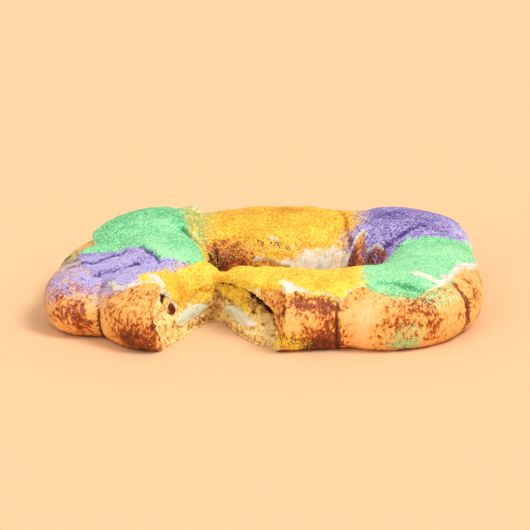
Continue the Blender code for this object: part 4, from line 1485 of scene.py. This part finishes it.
# ================================================================ settings
class CakeSizes(bpy.types.PropertyGroup):
    """Sizes that a baker would change."""

    grain: bpy.props.FloatProperty(
        name="Sugar grain", description="Size of one crystal of coloured sugar",
        default=0.85 * MM, min=0.2 * MM, max=3 * MM, subtype="DISTANCE", unit="LENGTH",
    )
    crumb: bpy.props.FloatProperty(
        name="Crumb", description="Size of one loose crumb on the torn dough",
        default=1.9 * MM, min=0.5 * MM, max=5 * MM, subtype="DISTANCE", unit="LENGTH",
    )
    sugar: bpy.props.FloatProperty(
        name="Sugar", description="Grains of sugar on each square millimetre of icing",
        default=0.8, min=0.0, max=2.0,
    )


def colour_property(name, description, code):
    """A colour setting with its default as an sRGB hex code."""
    return bpy.props.FloatVectorProperty(
        name=name, description=description, default=to_linear(code)[:3],
        size=3, min=0, max=1, subtype="COLOR",
    )


class CakeColours(bpy.types.PropertyGroup):
    """Colours that a decorator would change."""

    crust_golden: colour_property("Golden crust", "Crust where it is thin and evenly baked", "#F6B854")
    crust_caught: colour_property("Caught crust", "Crust where the egg wash caught in the oven", "#A04A18")
    crumb: colour_property("Crumb", "The soft inside of the dough", "#FFE494")
    cream: colour_property("Cream", "The cream cheese filling", "#DCE6CE")
    icing: colour_property("Icing", "The icing where no sugar lies on it", "#F2EEDC")
    gold_pale: colour_property("Gold, pale", "The palest grains of gold sugar", "#FFEA54")
    gold_deep: colour_property("Gold, deep", "The deepest grains of gold sugar", "#F0A01E")
    green_pale: colour_property("Green, pale", "The palest grains of green sugar", "#B6F6BC")
    green_deep: colour_property("Green, deep", "The deepest grains of green sugar", "#5CCB86")
    purple_pale: colour_property("Purple, pale", "The palest grains of purple sugar", "#D2C7F4")
    purple_deep: colour_property("Purple, deep", "The deepest grains of purple sugar", "#6C50A6")
    floor: colour_property("Board", "The plain board under the cake", "#F5CB9E")


# ================================================================ the pieces
class MakeDough(bpy.types.Operator):
    """Bake the plaited ring of dough, with the bite torn out of it"""

    bl_idname = "king_cake.make_dough"
    bl_label = "Dough"

    def execute(self, context):
        colours = context.scene.cake_colours
        form = ring_form()
        whole = ring_mesh("baked_ring", form["rows"], form["along"], form["arc"])
        dough = add_object("baked_ring", whole)
        crumb = torn_crumb_finish(colours)
        dough.data.materials.append(baked_crust_finish(colours))
        dough.data.materials.append(crumb)
        cut(dough, bite_cutter("bite", torn, 0.0, crumb))
        mesh = dough.data
        lay_out_torn_faces(mesh)
        points = mesh_points(mesh)
        along, arc = vertex_distances(mesh)
        # The crust's browning, with painted shade in its seams.
        store_value(mesh, "baked", crust_browning_and_seam_shade(points, crease_at(along, arc)))
        # The torn dough's browning, with painted shade in its recesses, slit, pocket and under the roof.
        store_value(mesh, "toasted", crumb_browning_and_shade(points))
        store_value(mesh, "skin", crust_skin(points))
        smeared = rise(spots_of(SMEARED_ICING, points) + 0.2 * noise(points, 3 * MM, 37), 0.5, 0.15)
        store_value(mesh, "smeared", smeared)
        store_value(mesh, "sugar_tone", sugar_tone(points))
        store_colour(mesh, "sugar_dust", *(fallen_sugar(points, along, arc) * (1 - smeared)))
        mesh.shade_smooth()
        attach(dough, "root")
        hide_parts("dough_ring")
        return {"FINISHED"}


class MakeIcing(bpy.types.Operator):
    """Spread the icing over the top of the ring, with its drips, rims and coloured sugar"""

    bl_idname = "king_cake.make_icing"
    bl_label = "Icing"

    def execute(self, context):
        form = ring_form()
        first, last = BASE_ROWS + ICING_MARGIN_ROWS, BASE_ROWS + OVER_ROWS - ICING_MARGIN_ROWS
        rows, normal = form["rows"][:, first:last], form["normal"][:, first:last]
        arc = form["arc"][:, first:last]
        along = np.broadcast_to(form["along"][:, None], arc.shape)
        gap = np.exp(-(((form["degrees"] - OPEN_SEAM) / 6) ** 2))
        crease = form["crease"][:, first:last] * (1 - gap)[:, None]
        over = rows + normal * icing_height(rows, along, arc, crease)[..., None]
        under_rows = np.linspace(last - first - 1, 0, ICING_UNDER_ROWS).round().astype(int)
        under = (rows - normal * ICING_SUNK)[:, under_rows]
        shell = np.concatenate([over, under], axis=1)
        shell_arc = np.concatenate([arc, arc[:, under_rows]], axis=1)
        icing = add_object("icing_sheet", ring_mesh("icing_sheet", shell, form["along"], shell_arc))
        finish = sugared_icing_finish(context.scene.cake_colours)
        icing.data.materials.append(finish)
        cut(icing, bite_cutter("icing_bite", torn_icing, ICING_OVERHANG, finish))
        mesh = icing.data
        points = mesh_points(mesh)
        along, arc = vertex_distances(mesh)
        along, arc = np.nan_to_num(along), np.nan_to_num(arc)
        gold, green, purple = sugar_amounts(points[:, 0], points[:, 1])
        cover = sugar_cover(points, along, arc)
        store_colour(mesh, "sugar", gold * cover, green * cover, purple * cover)
        store_value(mesh, "sugar_tone", sugar_tone(points))
        mesh.shade_smooth()
        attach(icing, "root")
        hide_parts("icing")
        return {"FINISHED"}


class MakeCream(bpy.types.Operator):
    """Pipe the ribbon of cream that runs inside the ring and shows on both faces of the bite"""

    bl_idname = "king_cake.make_cream"
    bl_label = "Cream filling"

    def execute(self, context):
        angle, _ = even_angles(CREAM_STATIONS)
        hole, outer = spokes(angle)
        outward = unit(outer - hole)
        middle = hole + (outer - hole) * CREAM_SHARE
        turn = np.arange(CREAM_STEPS) / CREAM_STEPS * math.tau
        # On the bite's left the ribbon reaches further out and is thicker there; on its right it tapers.
        share = np.interp(middle[:, 0], (-55 * MM, -30 * MM), (0, 1))
        reach = CREAM_HALF_WIDTH + (6 - 11 * share) * MM
        sideways = np.where(np.cos(turn) > 0, reach[:, None], CREAM_HALF_WIDTH) * np.cos(turn)
        fuller = (0.3 - 0.7 * share)[:, None] * np.cos(turn)
        upwards = CREAM_Z + CREAM_HALF_THICK * signed_power(np.sin(turn), 0.85) * (1.12 + fuller)
        rows = np.empty((len(angle), len(turn), 3))
        rows[..., :2] = middle[:, None, :] + outward[:, None, :] * sideways[..., None]
        rows[..., 2] = upwards
        rows += outward_normals(rows, 2) * (0.7 * MM * noise(rows, 8 * MM, 101))[..., None]
        finish = cream_finish(context.scene.cake_colours)
        cream = add_object("cream_ribbon", ring_mesh("cream_ribbon", rows))
        cream.data.materials.append(finish)
        cut(cream, bite_cutter("cream_bite", smooth_cream_face, 0.0, finish))
        cream.data.shade_smooth()
        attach(cream, "root")
        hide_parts("cream_filling")
        return {"FINISHED"}


THINNEST_SUGAR = 0.02  # faces with less than this take no grains
CRUMBS = 0.16  # loose crumbs on each square millimetre of torn dough


def sugar_surface():
    """The icing and the crust as one surface, with the amount of each sugar on it."""
    parts, faces, amounts, tones, start = [], [], [], [], 0
    for name, attribute in (("icing_sheet", "sugar"), ("baked_ring", "sugar_dust")):
        mesh = bpy.data.objects[name].data
        mesh.calc_loop_triangles()
        parts.append(mesh_points(mesh))
        amounts.append(read_array(mesh.attributes[attribute].data, "color", 4)[:, :3])
        tones.append(read_array(mesh.attributes["sugar_tone"].data, "value"))
        faces.append(read_array(mesh.loop_triangles, "vertices", 3, np.int32) + start)
        start += len(mesh.vertices)
    points, faces, amounts = np.concatenate(parts), np.concatenate(faces), np.concatenate(amounts)
    buried = np.zeros(len(points), bool)
    buried[: len(parts[0])] = icing_is_buried(parts[0])
    amounts = np.where(buried[:, None], 0, amounts)
    faces = faces[amounts[faces].max(axis=(1, 2)) > THINNEST_SUGAR]
    surface = bpy.data.meshes.new("sugar_surface")
    surface.from_pydata(points, [], faces)
    for column, name in enumerate(("gold", "green", "purple")):
        store_value(surface, name, amounts[:, column])
    store_value(surface, "sugar_tone", np.concatenate(tones))
    return add_object("sugar_surface", surface)


def icing_is_buried(points):
    """Which points of the icing lie under the dough's surface, where no sugar can lie."""
    mesh = bpy.data.objects["icing_sheet"].data
    normals = read_array(mesh.vertices, "normal", 3)
    along, arc = vertex_distances(mesh)
    reach = icing_reach(np.nan_to_num(along), np.nan_to_num(arc))
    return (reach < 0.2 * MM) | (normals[:, 2] < -0.35) & (points[:, 2] > 12 * MM)


class MakeSugar(bpy.types.Operator):
    """Scatter the gold, green and purple sanding sugar"""

    bl_idname = "king_cake.make_sugar"
    bl_label = "Coloured sugar"

    def execute(self, context):
        sizes, colours = context.scene.cake_sizes, context.scene.cake_colours
        surface = sugar_surface()
        for kind, share, seed in (("gold", 0.62, 11), ("green", 0.55, 12), ("purple", 0.7, 13)):
            pale, deep = getattr(colours, kind + "_pale"), getattr(colours, kind + "_deep")
            finish = sugar_crystal_finish(kind + "_sanding_sugar", pale, deep, SUGAR_SHADES[kind])
            grains = scatter(
                kind + "_sugar", surface,
                {
                    "Amount": kind, "Grains": sizes.sugar * share / MM**2, "Size": sizes.grain,
                    "Seed": seed, "Sides": 4, "Rings": 2, "Finish": finish,
                },
            )
            grains.data.shade_flat()
            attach(grains, "root")
        bpy.data.objects.remove(surface)
        return {"FINISHED"}


class MakeCrumbs(bpy.types.Operator):
    """Strew loose crumbs over the torn dough"""

    bl_idname = "king_cake.make_crumbs"
    bl_label = "Crumbs"

    def execute(self, context):
        sizes = context.scene.cake_sizes
        dough = bpy.data.objects["baked_ring"]
        mesh = dough.data.copy()
        corners, slots = corner_slots(mesh)
        points = mesh_points(mesh)
        amount = np.zeros(len(points))
        amount[corners[slots == 1]] = 1
        amount *= rise(noise(points, 6 * MM, 111), 0.1, 0.5) * off_the_board(points)
        # None where the cream shows.
        amount *= np.abs(points[:, 2] - CREAM_Z) >= 4 * MM
        store_value(mesh, "crumb_amount", amount)
        surface = add_object("crumb_surface", mesh)
        finish = dough.data.materials[1]
        crumbs = scatter(
            "crumbs", surface,
            {
                "Amount": "crumb_amount", "Grains": CRUMBS / MM**2, "Size": sizes.crumb,
                "Seed": 21, "Sides": 7, "Rings": 5, "Finish": finish,
            },
        )
        roughen(crumbs.data, 0.35 * MM, 1.2 * MM, 112)
        crumbs.data.shade_smooth()
        bpy.data.objects.remove(surface)
        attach(crumbs, "root")
        return {"FINISHED"}


def roughen(mesh, amount, cell, seed):
    """Moves a mesh's points by smooth noise in all three directions."""
    points = mesh_points(mesh)
    moved = np.stack([noise(points, cell, seed + k) for k in range(3)], axis=1)
    mesh.vertices.foreach_set("co", (points + moved * amount).astype(np.float32).ravel())
    mesh.update()


# ================================================================ the stage
BOARD_REACH = 9.0
BOARD_Z = -0.3 * MM  # just under the cake, so that the two don't share a plane
# Far studio lamps: name, where each stands as seen from the cake, its width in degrees and its strength.
LAMPS = (("key", (0.86, -0.56, 1.28), 24.0, 1.9), ("fill", (-0.9, -1.2, 0.9), 60.0, 0.75))
STUDIO_COLOUR = "#FFF6EC"
STUDIO_STRENGTH = 0.615
CAMERA_ELEVATION = 19.0  # degrees above level
CAMERA_DISTANCE = 3.0
PICTURE_WIDTH = 0.4653  # how much the picture shows at the cake
CAMERA_TARGET = (0.0009, 0.0, 0.0384)


class MakeStage(bpy.types.Operator):
    """Set the board, the lights and the camera"""

    bl_idname = "king_cake.make_stage"
    bl_label = "Board, lights and camera"

    def execute(self, context):
        mesh = bpy.data.meshes.new("board")
        far = BOARD_REACH
        corners = [(x, y, BOARD_Z) for x, y in ((-far, -far), (far, -far), (far, far), (-far, far))]
        mesh.from_pydata(corners, [], [(0, 1, 2, 3)])
        board = add_object("board", mesh)
        mesh.materials.append(floor_finish(context.scene.cake_colours.floor))
        for lamp in LAMPS:
            self.light(*lamp)
        world = bpy.data.worlds.new("studio")
        world.use_nodes = True
        background = world.node_tree.nodes["Background"]
        background.inputs["Color"].default_value = to_linear(STUDIO_COLOUR)
        background.inputs["Strength"].default_value = STUDIO_STRENGTH
        context.scene.world = world
        context.scene.view_settings.view_transform = "Standard"
        self.camera(context)
        return {"FINISHED"}

    def light(self, name, towards, softness, power):
        """One far studio lamp that shines at the cake."""
        lamp = bpy.data.lights.new(name, "SUN")
        lamp.angle = math.radians(softness)
        lamp.energy = power
        made = bpy.data.objects.new(name, lamp)
        bpy.context.scene.collection.objects.link(made)
        made.location = towards
        made.rotation_euler = Vector(towards).to_track_quat("Z", "Y").to_euler()

    def camera(self, context):
        """A camera square to the cake's front, looking down at it."""
        lens = bpy.data.cameras.new("camera")
        lens.lens = lens.sensor_width * CAMERA_DISTANCE / PICTURE_WIDTH
        lens.clip_end = 40.0
        camera = bpy.data.objects.new("camera", lens)
        context.scene.collection.objects.link(camera)
        down = math.radians(CAMERA_ELEVATION)
        away = Vector((0, -math.cos(down), math.sin(down))) * CAMERA_DISTANCE
        camera.location = Vector(CAMERA_TARGET) + away
        camera.rotation_euler = (math.pi / 2 - down, 0, 0)
        context.scene.camera = camera


class CakePanel(bpy.types.Panel):
    """The cake's pieces, sizes and colours"""

    bl_idname = "VIEW3D_PT_king_cake"
    bl_label = "King Cake"
    bl_space_type = "VIEW_3D"
    bl_region_type = "UI"
    bl_category = "King Cake"

    def draw(self, context):
        for settings in (context.scene.cake_sizes, context.scene.cake_colours):
            for name in settings.bl_rna.properties.keys():
                if name not in ("rna_type", "name"):
                    self.layout.prop(settings, name)
        for operator in PIECES:
            self.layout.operator(operator.bl_idname)


PIECES = (MakeDough, MakeIcing, MakeCream, MakeSugar, MakeCrumbs, MakeStage)
CLASSES = (CakeSizes, CakeColours, *PIECES, CakePanel)


def register():
    """Adds the settings, the operators and the panel."""
    for made in CLASSES:
        bpy.utils.register_class(made)
    bpy.types.Scene.cake_sizes = bpy.props.PointerProperty(type=CakeSizes)
    bpy.types.Scene.cake_colours = bpy.props.PointerProperty(type=CakeColours)


def unregister():
    """Takes the panel, the operators and the settings away again."""
    del bpy.types.Scene.cake_colours
    del bpy.types.Scene.cake_sizes
    for made in reversed(CLASSES):
        bpy.utils.unregister_class(made)


def main():
    """Makes all pieces in order."""
    register()
    bpy.ops.king_cake.make_dough()
    bpy.ops.king_cake.make_icing()
    bpy.ops.king_cake.make_cream()
    bpy.ops.king_cake.make_sugar()
    bpy.ops.king_cake.make_crumbs()
    bpy.ops.king_cake.make_stage()


if __name__ == "__main__":
    main()
